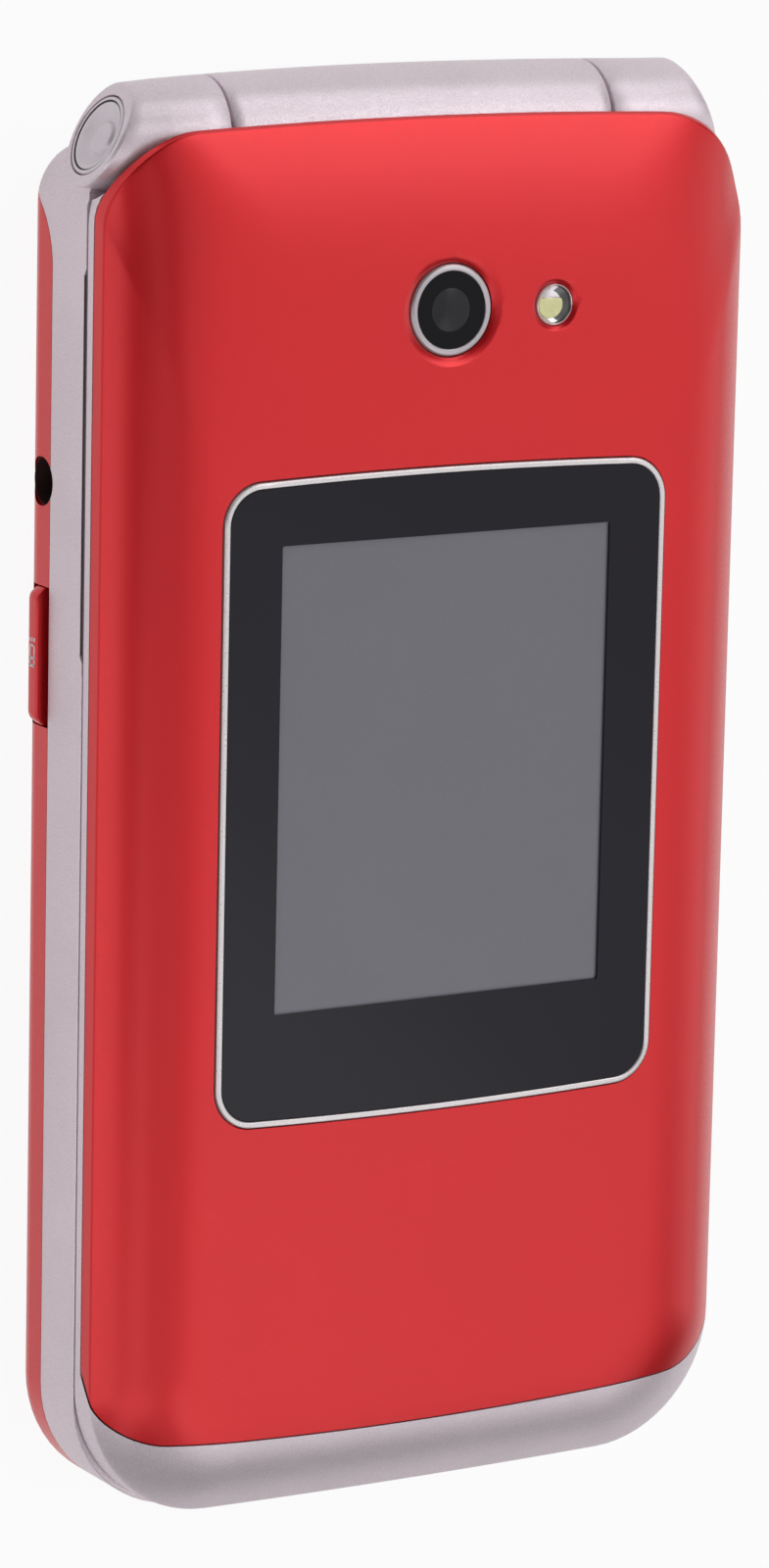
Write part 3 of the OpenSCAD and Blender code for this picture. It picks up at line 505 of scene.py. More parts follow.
RED = Finish("red_satin_paint", (220, 10, 24), metallic=0.75, roughness=0.38, spread=0.05, grain=0.05,
             grain_size=0.06, relief=0.03, relief_size=0.25, coat=0.7, coat_roughness=0.27)
SILVER = Finish("silver_grain_paint", (236, 222, 230), metallic=0.55, roughness=0.4, spread=0.08, grain=0.1,
                grain_size=0.11, cloud=0.03, relief=0.12, relief_size=0.16)
TRIM = Finish("satin_trim", (234, 228, 229), metallic=0.55, roughness=0.32, spread=0.06, grain=0.03,
              relief=0.02)
BLACK_GLASS = Finish("black_glass", (44, 42, 49), roughness=0.12, spread=0.02, grain=0.01, relief=0.0,
                     specular=0.12)
CAP_SILVER = Finish("cap_silver", (243, 233, 240), metallic=0.3, roughness=0.4, spread=0.03, grain=0.03,
                    relief=0.0)
# Painted shade: this dark colour goes on the housing rim's chamfer in the gap below the lid, and in the
# groove round each hinge cap's dish.
PAINTED_CREVICE_SHADE = Finish("painted_crevice_shadow", (98, 84, 88), roughness=0.7, grain=0.05, relief=0.0, specular=0.2)
# Painted shade: this darker colour goes on the underside of the lid's frame, so that the gap below the lid
# looks shaded.
PAINTED_UNDERSIDE_SHADE = Finish("painted_underside_shade", (142, 130, 136), roughness=0.6, grain=0.05, relief=0.0, specular=0.3)
DISPLAY = Finish("grey_display", (126, 124, 133), roughness=0.3, spread=0.02, grain=0.02, grain_size=0.3,
                 relief=0.0)
CAMERA_RING = Finish("camera_ring_satin", (198, 191, 196), metallic=0.6, roughness=0.32, spread=0.02,
                     grain=0.015, relief=0.0)
CAMERA_BLACK = Finish("camera_black", (24, 24, 27), roughness=0.15, spread=0.02, grain=0.02, relief=0.0,
                      specular=0.12)
LENS = Finish("lens_glass", (56, 56, 60), roughness=0.15, spread=0.02, grain=0.02, relief=0.0, specular=0.12)
FLASH_CHIP = Finish("flash_yellow", (246, 242, 176), roughness=0.35, grain=0.08, grain_size=0.5, cloud=0.05,
                    relief=0.05, coat=0.8, coat_roughness=0.06)
FLASH_CUP = Finish("flash_cup", (240, 232, 238), metallic=0.4, roughness=0.2, coat=0.5, coat_roughness=0.06)
# Painted shade: this dark grey goes on the flash cup's inner wall towards the right.
FLASH_PAINTED_SHADE = Finish("flash_painted_shade", (92, 90, 92), metallic=0.4, roughness=0.2, coat=0.5, coat_roughness=0.06)
DARK = Finish("satin_black_plastic", (34, 34, 36), roughness=0.5, grain=0.08, relief=0.15, relief_size=0.12)
SOCKET = Finish("socket_plastic", (60, 42, 40), roughness=0.45, grain=0.06, relief=0.05)
KEYCAP = Finish("key_cap", (40, 40, 43), roughness=0.28, grain=0.03, relief=0.04, relief_size=0.2)
PRINT = Finish("white_print", (250, 248, 250), roughness=0.45, grain=0.02, relief=0.02)
GREEN_PRINT = Finish("green_print", (70, 190, 96), roughness=0.45, grain=0.02, relief=0.02)
RED_PRINT = Finish("red_print", (222, 56, 60), roughness=0.45, grain=0.02, relief=0.02)
SATIN = Finish("satin_silver_plate", (176, 170, 175), metallic=0.5, roughness=0.36, grain=0.05, relief=0.06)
BOARD = Finish("circuit_board", (22, 84, 46), roughness=0.35, grain=0.2, grain_size=0.8, relief=0.1,
               relief_size=0.6)
RUBBER = Finish("soft_rubber", (92, 92, 94), roughness=0.7, grain=0.05, relief=0.1)
MESH = Finish("acoustic_mesh", (48, 48, 50), roughness=0.55, grain=0.25, grain_size=0.12, relief=0.4,
              relief_size=0.12)
STEEL = Finish("stamped_steel", (176, 176, 178), metallic=0.95, roughness=0.3, grain=0.08, grain_size=0.3,
               stretch=(1.0, 12.0, 12.0))
BRASS = Finish("contact_gold", (206, 166, 84), metallic=1.0, roughness=0.25)
WRAP = Finish("battery_wrap", (52, 54, 60), roughness=0.32, grain=0.03, relief=0.05, relief_size=0.5)

NODE_FINISHES: dict[str, Finish] = {
    "camera_module": DARK, "flash_led": FLASH_CHIP, "lid_board": BOARD, "earpiece": DARK,
    "earpiece_mesh": MESH, "lid_bumpers": RUBBER, "hinge_cartridge": STEEL, "keypad_mat": RUBBER,
    "main_board": BOARD, "rear_chassis": DARK, "jack_socket": DARK, "usb_socket": STEEL,
    "loudspeaker": DARK, "vibration_motor": STEEL, "microphone": BRASS, "sim_holder": STEEL,
    "battery_contacts": BRASS, "antenna": DARK, "hinge_bush": STEEL, "chassis_screws": STEEL,
    "battery": WRAP, "nav_plate": STEEL, "outer_lcd": DARK, "inner_lcd": DISPLAY, "lid_bezel": DARK,
    "keypad_plate": SATIN, "ok_key": SATIN, "inner_window": BLACK_GLASS, "nav_ring": KEYCAP,
    "volume_key": RED, "torch_key": RED,
}


def dress(piece: Piece, finish: Finish, body: str, slot: str, *nodes: str) -> Piece:
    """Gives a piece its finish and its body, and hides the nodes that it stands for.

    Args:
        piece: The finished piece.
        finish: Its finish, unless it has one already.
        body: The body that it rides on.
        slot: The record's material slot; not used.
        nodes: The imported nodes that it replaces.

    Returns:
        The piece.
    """
    if not piece.data.materials:
        piece.data.materials.append(finish.make())
    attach(piece, body)
    if nodes:
        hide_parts(*nodes)
    LOG.info("%s rides on %s, %d faces", piece.name, body, len(piece.data.polygons))
    return piece


# --- Phone -----------------------------------------------------------------------------------------


@dataclass(frozen=True)
class Phone:
    """Sizes that the phone's sub-assemblies share, in millimetres."""

    half_width: float = 27.3
    chin_y: float = -53.9
    chin_corner: float = 10.0
    rim_z: float = 10.72
    lid_z: float = 11.17
    edge_z: float = 12.24
    crown_z: float = 16.8
    window_z: float = 17.0
    lid_end_y: float = 50.53
    base_end_y: float = 48.63
    seam_y: float = -48.02
    parting_y: float = 11.7
    axis_y: float = 49.13
    axis_z: float = 10.4
    barrel_r: float = 4.77
    barrel_crown: tuple[float, float] = (0.9, 0.55)
    barrel_left: float = -17.3
    barrel_right: float = 14.5
    joint_gap: float = 0.2
    sweep_r: float = 5.17
    camera_y: float = 36.35
    flash_x: float = 8.83
    jack_y: float = 23.6
    jack_z: float = 4.4
    side_key_y: float = 10.65
    side_key_z: float = 3.1
    corner_loss: float = 0.7  # share of a wall that a corner's radius loses inwards
    chin_tighten: float = 0.6  # share by which the chin's corners tighten over a run

    @property
    def lip_z(self) -> float:
        """Height of the lid's lip over the barrel."""
        return self.axis_z + math.sqrt((self.sweep_r - 0.03) ** 2 - (self.lid_end_y - self.axis_y) ** 2)

    def barrel_radius(self, x: float) -> float:
        """Radius of the crowned barrel at x."""
        return self.barrel_r - self.barrel_crown[x > 0] * (x / self.half_width) ** 2


PHONE = Phone()


@dataclass(frozen=True)
class LidShells:
    """The lid's red cover and its silver frame, on one crowned form."""

    phone: Phone = PHONE
    side_run: float = 8.5
    hinge_run: float = 15.0
    side_h: float = 1.2
    corner: float = 6.6
    right_corner: float = 8.7
    corner_growth: float = 0.9
    hinge_bow: float = 0.4
    rise_start: float = 6.9
    rise_end: float = 0.35
    end_sweep_r: float = 4.3
    cover_wall: float = 1.2
    frame_wall: float = 2.0
    seam_corner: float = 5.4
    seam_bow: float = 1.1
    seam_sag: tuple[float, float] = (-0.4, 1.3)  # at the cover's edge and above it
    seam_gap: float = 0.12
    rim_gap: float = 0.08
    edge_chamfer: float = 0.07
    pocket_z: float = 16.0
    pocket_gap: float = 0.12
    pocket_ledge: float = 1.6
    camera_dish: tuple[float, float, float] = (3.5, 0.74, 0.27)  # radius, width and depth of the slope
    flash_dish: tuple[float, float, float] = (1.58, 0.4, 0.22)
    sweep_ends: tuple[float, float, float, float] = (-25.6, -24.9, 22.6, 23.3)
    crease_run: float = 0.012
    crown_start: float = 0.0236
    crown_power: float = 2.75
    step_power: float = 1.2

    def outline(self, run: float, wall: float) -> Flat:
        """Lid's outline at a share of the fall, set in by a wall."""
        p = self.phone
        left, right = (mix(r, self.corner * (1 + self.corner_growth), run) - wall * p.corner_loss
                       for r in (self.corner, self.right_corner))
        flat = plan(p.half_width - wall - self.side_run * run, p.chin_y + wall + self.side_run * run,
                    p.lid_end_y - wall - self.hinge_run * run,
                    p.chin_corner * (1 - p.chin_tighten * run) - wall * p.corner_loss, left, r_right=right)
        return [(x, y - self.hinge_bow * (x / p.half_width) ** 2 * (y > 0)) for x, y in flat]

    def edge(self) -> list[float]:
        """Height of the cover's lower edge at each point of the outline."""
        p = self.phone
        return [mix(p.edge_z, p.lip_z, smooth(p.lid_end_y - self.rise_start, p.lid_end_y - self.rise_end, y))
                for _, y in self.outline(0, 0)]

    def profile(self, steps: int = 18) -> list[tuple[float, float]]:
        """Shares of run and height, from the lower edge over the rounded crease to the crown."""
        share = self.side_h / (self.phone.crown_z - self.phone.edge_z)
        low = [(0.0045, 0.1), (0.0105, 0.231), (0.0117, 0.246), (0.0146, 0.2595), (0.0187, 0.2735)]
        crown = []
        for i in range(steps + 1):
            run = mix(self.crown_start, 1.0, (i / steps) ** self.step_power)
            fall = 1 - (run - self.crease_run) / (1 - self.crease_run)
            crown.append((run, mix(share, 1.0, 1 - fall ** self.crown_power)))
        return [(0.0, 0.0), *low, *crown]

    def crown(self, wall: float, steps: int = 18) -> list[Ring]:
        """Outlines of the crowned surface, lowered by a wall, from the edge up to the crown."""
        top = self.phone.crown_z - wall
        return [lift(self.outline(run, wall), [mix(z, top, height) for z in self.edge()])
                for run, height in self.profile(steps)]

    def cover_space(self, grow: float, high: float) -> Piece:
        """Space of the cover, whose seam slants down over the side walls."""
        p, (low_sag, high_sag) = self.phone, self.seam_sag
        return loft("tool", [lift(self.cover_region(grow, sag), z) for z, sag in
                             ((p.lid_z - 1, low_sag), (p.edge_z, low_sag), (p.edge_z + self.side_h, high_sag),
                              (high, high_sag))])

    def cover_region(self, grow: float, sag: float) -> Flat:
        """Plan region of the cover, grown over the seam, with a sag of the seam at the side walls."""
        p = self.phone
        y, r, w, bow = p.seam_y - grow, self.seam_corner + grow, p.half_width + grow, self.seam_bow
        right = arc(w - r, y + bow + r, r, -90, 24)
        right = [(px, py - bow * (1 - (px / w) ** 2) - sag * (px / w) ** 16) for px, py in right]
        right += [(w + 3, right[-1][1]), (w + 3, 80.0)]
        steps = 24
        across = (mix(r - w, w - r, i / steps) for i in range(1, steps))
        middle = [(x, y + bow * (x / w) ** 2) for x in across]
        return right + [(-x, py) for x, py in reversed(right)] + middle

    def cover(self) -> Piece:
        """Red cover with its window pocket and the dishes of camera and flash."""
        p = self.phone
        edge = self.edge()
        outer = self.crown(0)
        rings = list(reversed(self.crown(self.cover_wall, 8)))
        rings.append(lift(self.outline(0, self.edge_chamfer), edge))
        rings.append(lift(self.outline(0, 0), [z + self.edge_chamfer for z in edge]))
        rings += outer[1:]
        rings.append(lift(self.outline(1, 0.4), p.crown_z))
        piece = loft("lid_cover_skin", rings)
        carve(piece, self.cover_space(0, p.crown_z + 3), Carve.KEEP)
        window = OuterWindow()
        carve(piece, prism("tool", window.outline(-self.pocket_gap), self.pocket_z, p.crown_z + 3))
        carve(piece, prism("tool", window.outline(self.pocket_ledge), p.lid_z, p.crown_z + 3))
        for x, (r, width, depth) in ((0.0, self.camera_dish), (p.flash_x, self.flash_dish)):
            low = p.crown_z - depth
            dish = [(r, p.lid_z), (r, low - 0.05), (r + 0.04, low), (r + width * 0.45, low + depth * 0.5),
                    (r + width * 0.8, low + depth * 0.86), (r + width, p.crown_z + 0.003),
                    (r + width + 0.01, p.crown_z + 1)]
            carve(piece, turned("tool", x, p.camera_y, dish, count=128))
        return shade(piece, 28)

    def frame(self) -> Piece:
        """Silver frame: side strip and chin, cut back round the cover and the barrel's sweep."""
        p = self.phone
        edge = self.edge()
        rings = list(reversed(self.crown(self.frame_wall, 8)))
        rings += [lift(self.outline(0, self.frame_wall), p.lid_z + 0.12),
                  lift(self.outline(0, self.frame_wall - 0.12), p.lid_z),
                  lift(self.outline(0, 0.2), p.lid_z), lift(self.outline(0, 0.06), p.lid_z + 0.06),
                  lift(self.outline(0, 0), p.lid_z + 0.2)]
        rings += self.crown(0)
        piece = loft("lid_frame_skin", rings)
        top = [z - self.rim_gap for z in edge]
        wide = plan(p.half_width + 1, p.chin_y - 1, p.lid_end_y + 1, p.chin_corner + 1, self.corner + 1)
        space = loft("tool", [lift(wide, p.crown_z + 5), lift(wide, top),
                              lift(self.outline(0, self.frame_wall + 0.3), top),
                              lift(self.outline(0.7, 0), p.edge_z - self.rim_gap)])
        carve(space, self.cover_space(self.seam_gap, p.crown_z + 6), Carve.KEEP)
        carve(piece, space)
        room, end, (x0, x1, x2, x3) = p.sweep_r, self.end_sweep_r, self.sweep_ends
        sweep = [(-60, end), (x0, end), (x1, room), (x2, room), (x3, end), (60, end)]
        carve(piece, rod("tool", sweep, p.axis_y, p.axis_z))
        return shade(piece, 28)

    def web(self) -> Piece:
        """Bulkhead between the lid's side walls, with the web behind the middle barrel."""
        p = self.phone
        y = p.axis_y - p.sweep_r - 0.15
        web_z, w = p.axis_z + 3.4, p.half_width
        section = [(1 - w, p.lid_z + 0.1), (w - 1, p.lid_z + 0.1), (w - 1, p.edge_z - 0.1),
                   (w - 8.5, web_z + 1), (8.5 - w, web_z + 1), (1 - w, p.edge_z - 0.1)]
        wall = loft("lid_bulkhead", [[(x, y + dy, z) for x, z in section] for dy in (0, -2.4)])
        left, right = p.barrel_left + 0.5, p.barrel_right - 0.5
        foot = [(left, y - 0.5), (right, y - 0.5), (right, p.axis_y - 0.6), (left, p.axis_y - 0.6)]
        web = prism("web", foot, p.lid_z + 0.05, web_z)
        carve(wall, web, Carve.JOIN)
        soften(wall, 0.1)
        return shade(wall)

    def build(self) -> None:
        """Builds and dresses the lid's shells."""
        dress(self.cover(), RED, "lid", "red_paint", "lid_cover")
        low = self.phone.lid_z + 0.02
        # The frame's downward faces at its lower edge take the darker colour: painted shade for the gap below
        # the lid.
        frame = paint(self.frame(), (SILVER, PAINTED_UNDERSIDE_SHADE),
                      lambda middle, normal: normal.z < -0.9 and middle.z < low)
        dress(frame, SILVER, "lid", "silver_paint", "lid_frame")
        dress(self.web(), SILVER, "lid", "silver_paint")


@dataclass(frozen=True)
class OuterWindow:
    """Outer window: bright trim, black pane and the grey display behind it."""

    phone: Phone = PHONE
    half_width: float = 18.825
    middle_y: float = 0.5
    length: float = 48.7
    corner: float = 3.0
    trim_w: float = 0.45
    display_w: float = 28.03
    display_l: float = 35.04
    display_y: float = 2.3
    display_corner: float = 0.15
    pane_t: float = 0.85
    pane_sink: float = 0.06
    display_sink: float = 0.22
    corner_steps: int = 12
    end_steps: int = 16

    def outline(self, inset: float) -> Flat:
        """Window's outline, set in by an amount."""
        r = max(0.5, self.corner - inset)
        half = self.length / 2
        return plan(self.half_width - inset, self.middle_y - half + inset, self.middle_y + half - inset, r, r,
                    corner=self.corner_steps, ends=self.end_steps)

    def trim(self) -> Piece:
        """Bright trim with rounded edges."""
        top, foot, w = self.phone.window_z, 16.0, self.trim_w
        rings = [lift(self.outline(0), foot), lift(self.outline(0), top - 0.12),
                 lift(self.outline(0.03), top - 0.04), lift(self.outline(0.1), top),
                 lift(self.outline(w - 0.08), top), lift(self.outline(w - 0.02), top - 0.03),
                 lift(self.outline(w), top - 0.1), lift(self.outline(w), foot)]
        return shade(loft("window_trim_ring", rings, closed=True), 50)

    def pane(self) -> Piece:
        """Black pane with a clear place over the display."""
        top, half = self.phone.window_z - self.pane_sink, self.display_l / 2
        hole = plan(self.display_w / 2, self.display_y - half, self.display_y + half, self.display_corner,
                    self.display_corner, 0.0, self.corner_steps, self.end_steps)
        rings = [lift(self.outline(self.trim_w + 0.03), top - self.pane_t),
                 lift(self.outline(self.trim_w + 0.03), top - 0.06),
                 lift(self.outline(self.trim_w + 0.09), top), lift(hole, top), lift(hole, top - self.pane_t)]
        return shade(loft("window_pane", rings, closed=True), 20)

    def display(self) -> Piece:
        """Grey display just behind the pane."""
        top = self.phone.window_z - self.pane_sink - self.display_sink
        piece = prism("outer_display", block(self.display_w + 0.02, self.display_l + 0.02, 0.05, 0,
                                             self.display_y, 2), top - 0.6, top)
        return shade(piece)

    def build(self) -> None:
        """Builds and dresses the window."""
        dress(self.trim(), TRIM, "lid", "trim", "outer_window_trim")
        dress(self.pane(), BLACK_GLASS, "lid", "dark_glass", "outer_window")
        dress(self.display(), DISPLAY, "lid", "display")


@dataclass(frozen=True)
class CameraAndFlash:
    """Camera ring, camera window with its lens, and the flash."""

    phone: Phone = PHONE
    ring_r: float = 3.42
    ring_w: float = 0.53
    ring_z: float = 16.62
    lens_r: float = 1.62
    flash_r: float = 1.54
    flash_z: float = 16.7
    chip_r: float = 1.02
    chip_shift: float = 0.3

    def ring(self) -> Piece:
        """Bright ring in its dish, with a flat face and a chamfer outside."""
        r, inner, top, foot = self.ring_r, self.ring_r - self.ring_w, self.ring_z, 15.9
        profile = [(r, foot), (r, top - 0.2), (r - 0.02, top - 0.14), (r - 0.12, top - 0.02), (r - 0.17, top),
                   (inner + 0.06, top), (inner + 0.01, top - 0.03), (inner, top - 0.08), (inner, foot)]
        return shade(turned("camera_trim_ring", 0, self.phone.camera_y, profile, closed=True), 30)

    def window(self) -> Piece:
        """Black camera window, a little sunk."""
        r, top = self.ring_r - self.ring_w - 0.01, self.ring_z - 0.12
        profile = [(r, 16.0), (r, top), (self.lens_r, top), (self.lens_r, 16.0)]
        return shade(turned("camera_pane", 0, self.phone.camera_y, profile, closed=True), 20)

    def lens(self) -> Piece:
        """Flat front lens with a soft edge."""
        r, top = self.lens_r - 0.005, self.ring_z - 0.125
        profile = [(r, 16.0), (r, top - 0.01), (r - 0.04, top), (0.01, top + 0.004)]
        return shade(turned("camera_lens", 0, self.phone.camera_y, profile), 20)

    def chip(self) -> Flat:
        """Outline of the flash's yellow chip, cut off towards the hinge."""
        x, y = self.phone.flash_x - self.chip_shift, self.phone.camera_y
        return [(x + px, y + min(py, 0.46)) for px, py in circle(0, 0, self.chip_r, 64)]

    def flash(self) -> list[Piece]:
        """Flash: cup with a bright floor and a crescent of painted shade on its inner wall towards the right,
        and the yellow chip.
        """
        x, y, r, top = self.phone.flash_x, self.phone.camera_y, self.flash_r, self.flash_z
        profile = [(r, 15.9), (r, top - 0.1), (r - 0.03, top - 0.03), (r - 0.07, top), (r - 0.12, top - 0.03),
                   (r - 0.2, top - 0.25)]
        floor = [(self.chip_r, top - 0.34), (0.05, top - 0.36)]
        cup = loft("flash_cup_ring", [lift(circle(x, y, radius, 64), z) for radius, z in profile]
                   + [lift(circle(x - self.chip_shift, y, radius, 64), z) for radius, z in floor])
        # The cup's inner wall towards the right is painted dark grey: painted shade.
        paint(cup, (FLASH_CUP, FLASH_PAINTED_SHADE), lambda middle, normal: middle.x - x > 0.2
              and top - 0.33 < middle.z < top - 0.04)
        chip = soften(prism("flash_chip", self.chip(), 16.0, top - 0.1), 0.12, 30)
        return [shade(cup, 50), shade(chip, 50)]

    def build(self) -> None:
        """Builds and dresses camera and flash."""
        dress(self.ring(), CAMERA_RING, "lid", "trim", "camera_ring")
        dress(self.window(), CAMERA_BLACK, "lid", "dark_glass", "camera_window")
        dress(self.lens(), LENS, "lid", "dark_glass")
        cup, chip = self.flash()
        dress(cup, FLASH_CUP, "lid", "flash", "flash_lens")
        dress(chip, FLASH_CHIP, "lid", "led")


@dataclass(frozen=True)
class Hinge:
    """Crowned hinge barrel: the lid's middle barrel, and the base's two knuckles with their end caps."""

    phone: Phone = PHONE
    cap_r: float = 3.02
    cap_depth: float = 0.7
    bush_r: float = 2.65
    bush_l: float = 5.0
    cartridge_r: float = 3.02
    cartridge_l: float = 12.4
    cable_r: float = 1.8
    bore_r: tuple[float, float] = (2.61, 1.65)  # this pair and the next five are left and right
    bore_l: tuple[float, float] = (4.0, 6.0)
    last_x: tuple[float, float] = (21.5, 19.2)
    end_r: tuple[float, float] = (3.68, 4.12)
    end_x: tuple[float, float] = (26.22, 23.65)
    end_tilt: tuple[float, float] = (26.0, 22.0)
    end_shift: float = 0.34
    lip: tuple[tuple[float, float], ...] = ((0.0, 0.14), (0.04, 0.05), (0.13, 0.0))  # along, inset
    chamfer: tuple[tuple[float, float], ...] = ((0.0, 0.24), (0.02, 0.19), (0.17, 0.03), (0.22, 0.0))
    groove: tuple[float, float] = (0.39, 0.27)  # inset of both its edges
    count: int = 128

    def face(self, side: Side, radius: float, depth: float = 0.0) -> Ring:
        """True circle on a knuckle's slanted end face, at a depth out of it."""
        p, s, tilt = self.phone, side.value, math.radians(side.of(self.end_tilt))
        middle = Vector((s * side.of(self.end_x), p.axis_y + self.end_shift, p.axis_z))
        normal = Vector((s * math.cos(tilt), math.sin(tilt), 0))
        across = Vector((-s * math.sin(tilt), math.cos(tilt), 0))
        return [tuple(middle + normal * depth + across * radius * math.cos(a)
                      + Vector((0, 0, radius * math.sin(a)))) for a in full_turn(self.count)]

    def section(self, x: float, radius: float) -> Ring:
        """Upright circle of the barrel at x."""
        return hoop(x, self.phone.axis_y, self.phone.axis_z, radius, self.count)

    def slanted(self, side: Side, inset: float, back: float) -> Ring:
        """Outline of the knuckle's end, set in by an amount and moved back along the barrel."""
        p, s, r = self.phone, side.value, side.of(self.end_r) - inset
        tangent = math.tan(math.radians(side.of(self.end_tilt)))
        return [(s * (side.of(self.end_x) - tangent * r * math.cos(a) - back),
                 p.axis_y + self.end_shift + r * math.cos(a), p.axis_z + r * math.sin(a))
                for a in full_turn(self.count)]

    def middle(self) -> Piece:
        """The lid's middle barrel, bored for bush, cable and cartridge."""
        p = self.phone
        x0, x1 = p.barrel_left, p.barrel_right
        outer = [(x0 + along, p.barrel_radius(x0) - inset) for along, inset in self.lip]
        outer += [(x, p.barrel_radius(x)) for x in (mix(x0 + 1, x1 - 1, i / 12) for i in range(13))]
        outer += [(x1 - along, p.barrel_radius(x1) - inset) for along, inset in reversed(self.lip)]
        inner = [(x1, self.cartridge_r), (x1 - self.cartridge_l, self.cartridge_r),
                 (x1 - self.cartridge_l, self.cable_r), (x0 + self.bush_l, self.cable_r),
                 (x0 + self.bush_l, self.bush_r), (x0, self.bush_r)]
        return shade(loft("hinge_barrel", [self.section(x, r) for x, r in outer + inner], closed=True), 35)

    def knuckle(self, side: Side) -> Piece:
        """One of the base's knuckles, with a chamfered slanted end and the seat of its cap."""
        p, s, bore = self.phone, side.value, side.of(self.bore_r)
        x0, last = abs(side.of((p.barrel_left, p.barrel_right))) + p.joint_gap, side.of(self.last_x)
        rings = [self.section(s * (x0 + side.of(self.bore_l)), bore), self.section(s * x0, bore)]
        rings += [self.section(s * (x0 + along), p.barrel_radius(s * x0) - inset)
                  for along, inset in self.lip[:2]]
        rings += [self.section(s * x, p.barrel_radius(s * x))
                  for x in (x0 + self.lip[2][0], mix(x0, last, 0.5), last)]
        ends = [self.slanted(side, inset, back) for inset, back in self.chamfer]
        start = rings[-1]
        for step in (0.25, 0.5, 0.75):
            rings.append([tuple(Vector(a).lerp(Vector(b), step)) for a, b in zip(start, ends[0])])
        rings += ends
        seat = self.cap_r + 0.12
        rings += [self.face(side, seat + 0.05), self.face(side, seat, -0.04),
                  self.face(side, seat, -self.cap_depth), self.face(side, 1.0, -self.cap_depth)]
        return shade(loft(f"knuckle_{side.name.lower()}", rings), 35)

    def cap(self, side: Side) -> Piece:
        """Dished end cap that fills the knuckle's seat, with painted shade in the groove round its dish."""
        r, low = self.cap_r, -self.cap_depth + 0.02
        profile = [(r, low), (r, -0.14), (r - 0.03, -0.06), (r - 0.08, -0.02), (r - 0.2, -0.01),
                   (r - 0.27, -0.03), (r - 0.3, -0.16), (r - 0.38, -0.16), (r - 0.41, -0.09),
                   (r - 0.5, -0.07), (r - 0.62, -0.1), (r - 0.9, -0.26), (r - 1.3, -0.52),
                   (1.42, -0.62), (1.34, -0.62), (1.28, -0.54), (1.2, -0.4), (1.1, -0.36), (0.8, -0.4),
                   (0.4, -0.5), (0.02, -0.53)]
        rings = [self.face(side, radius, depth) for radius, depth in profile]
        cap = shade(loft(f"knuckle_cap_{side.name.lower()}", rings), 50)
        middle = sum((Vector(point) for point in self.face(side, 1.0)), Vector()) / self.count

        def grooved(at: Vector, normal: Vector) -> bool:
            """Whether a face lies in the groove round the dish, which is painted dark as painted shade."""
            return r - self.groove[0] < (at - middle).length < r - self.groove[1]

        # The groove takes the dark finish: painted shade.
        return paint(cap, (CAP_SILVER, PAINTED_CREVICE_SHADE), grooved)

    def build(self) -> None:
        """Builds and dresses the hinge."""
        dress(self.middle(), SILVER, "lid", "silver_paint")
        dress(self.knuckle(Side.LEFT), SILVER, "base", "silver_paint")
        dress(self.knuckle(Side.RIGHT), SILVER, "base", "silver_paint")
        dress(self.cap(Side.LEFT), CAP_SILVER, "base", "silver_paint", "hinge_cap_left")
        dress(self.cap(Side.RIGHT), CAP_SILVER, "base", "silver_paint", "hinge_cap_right")


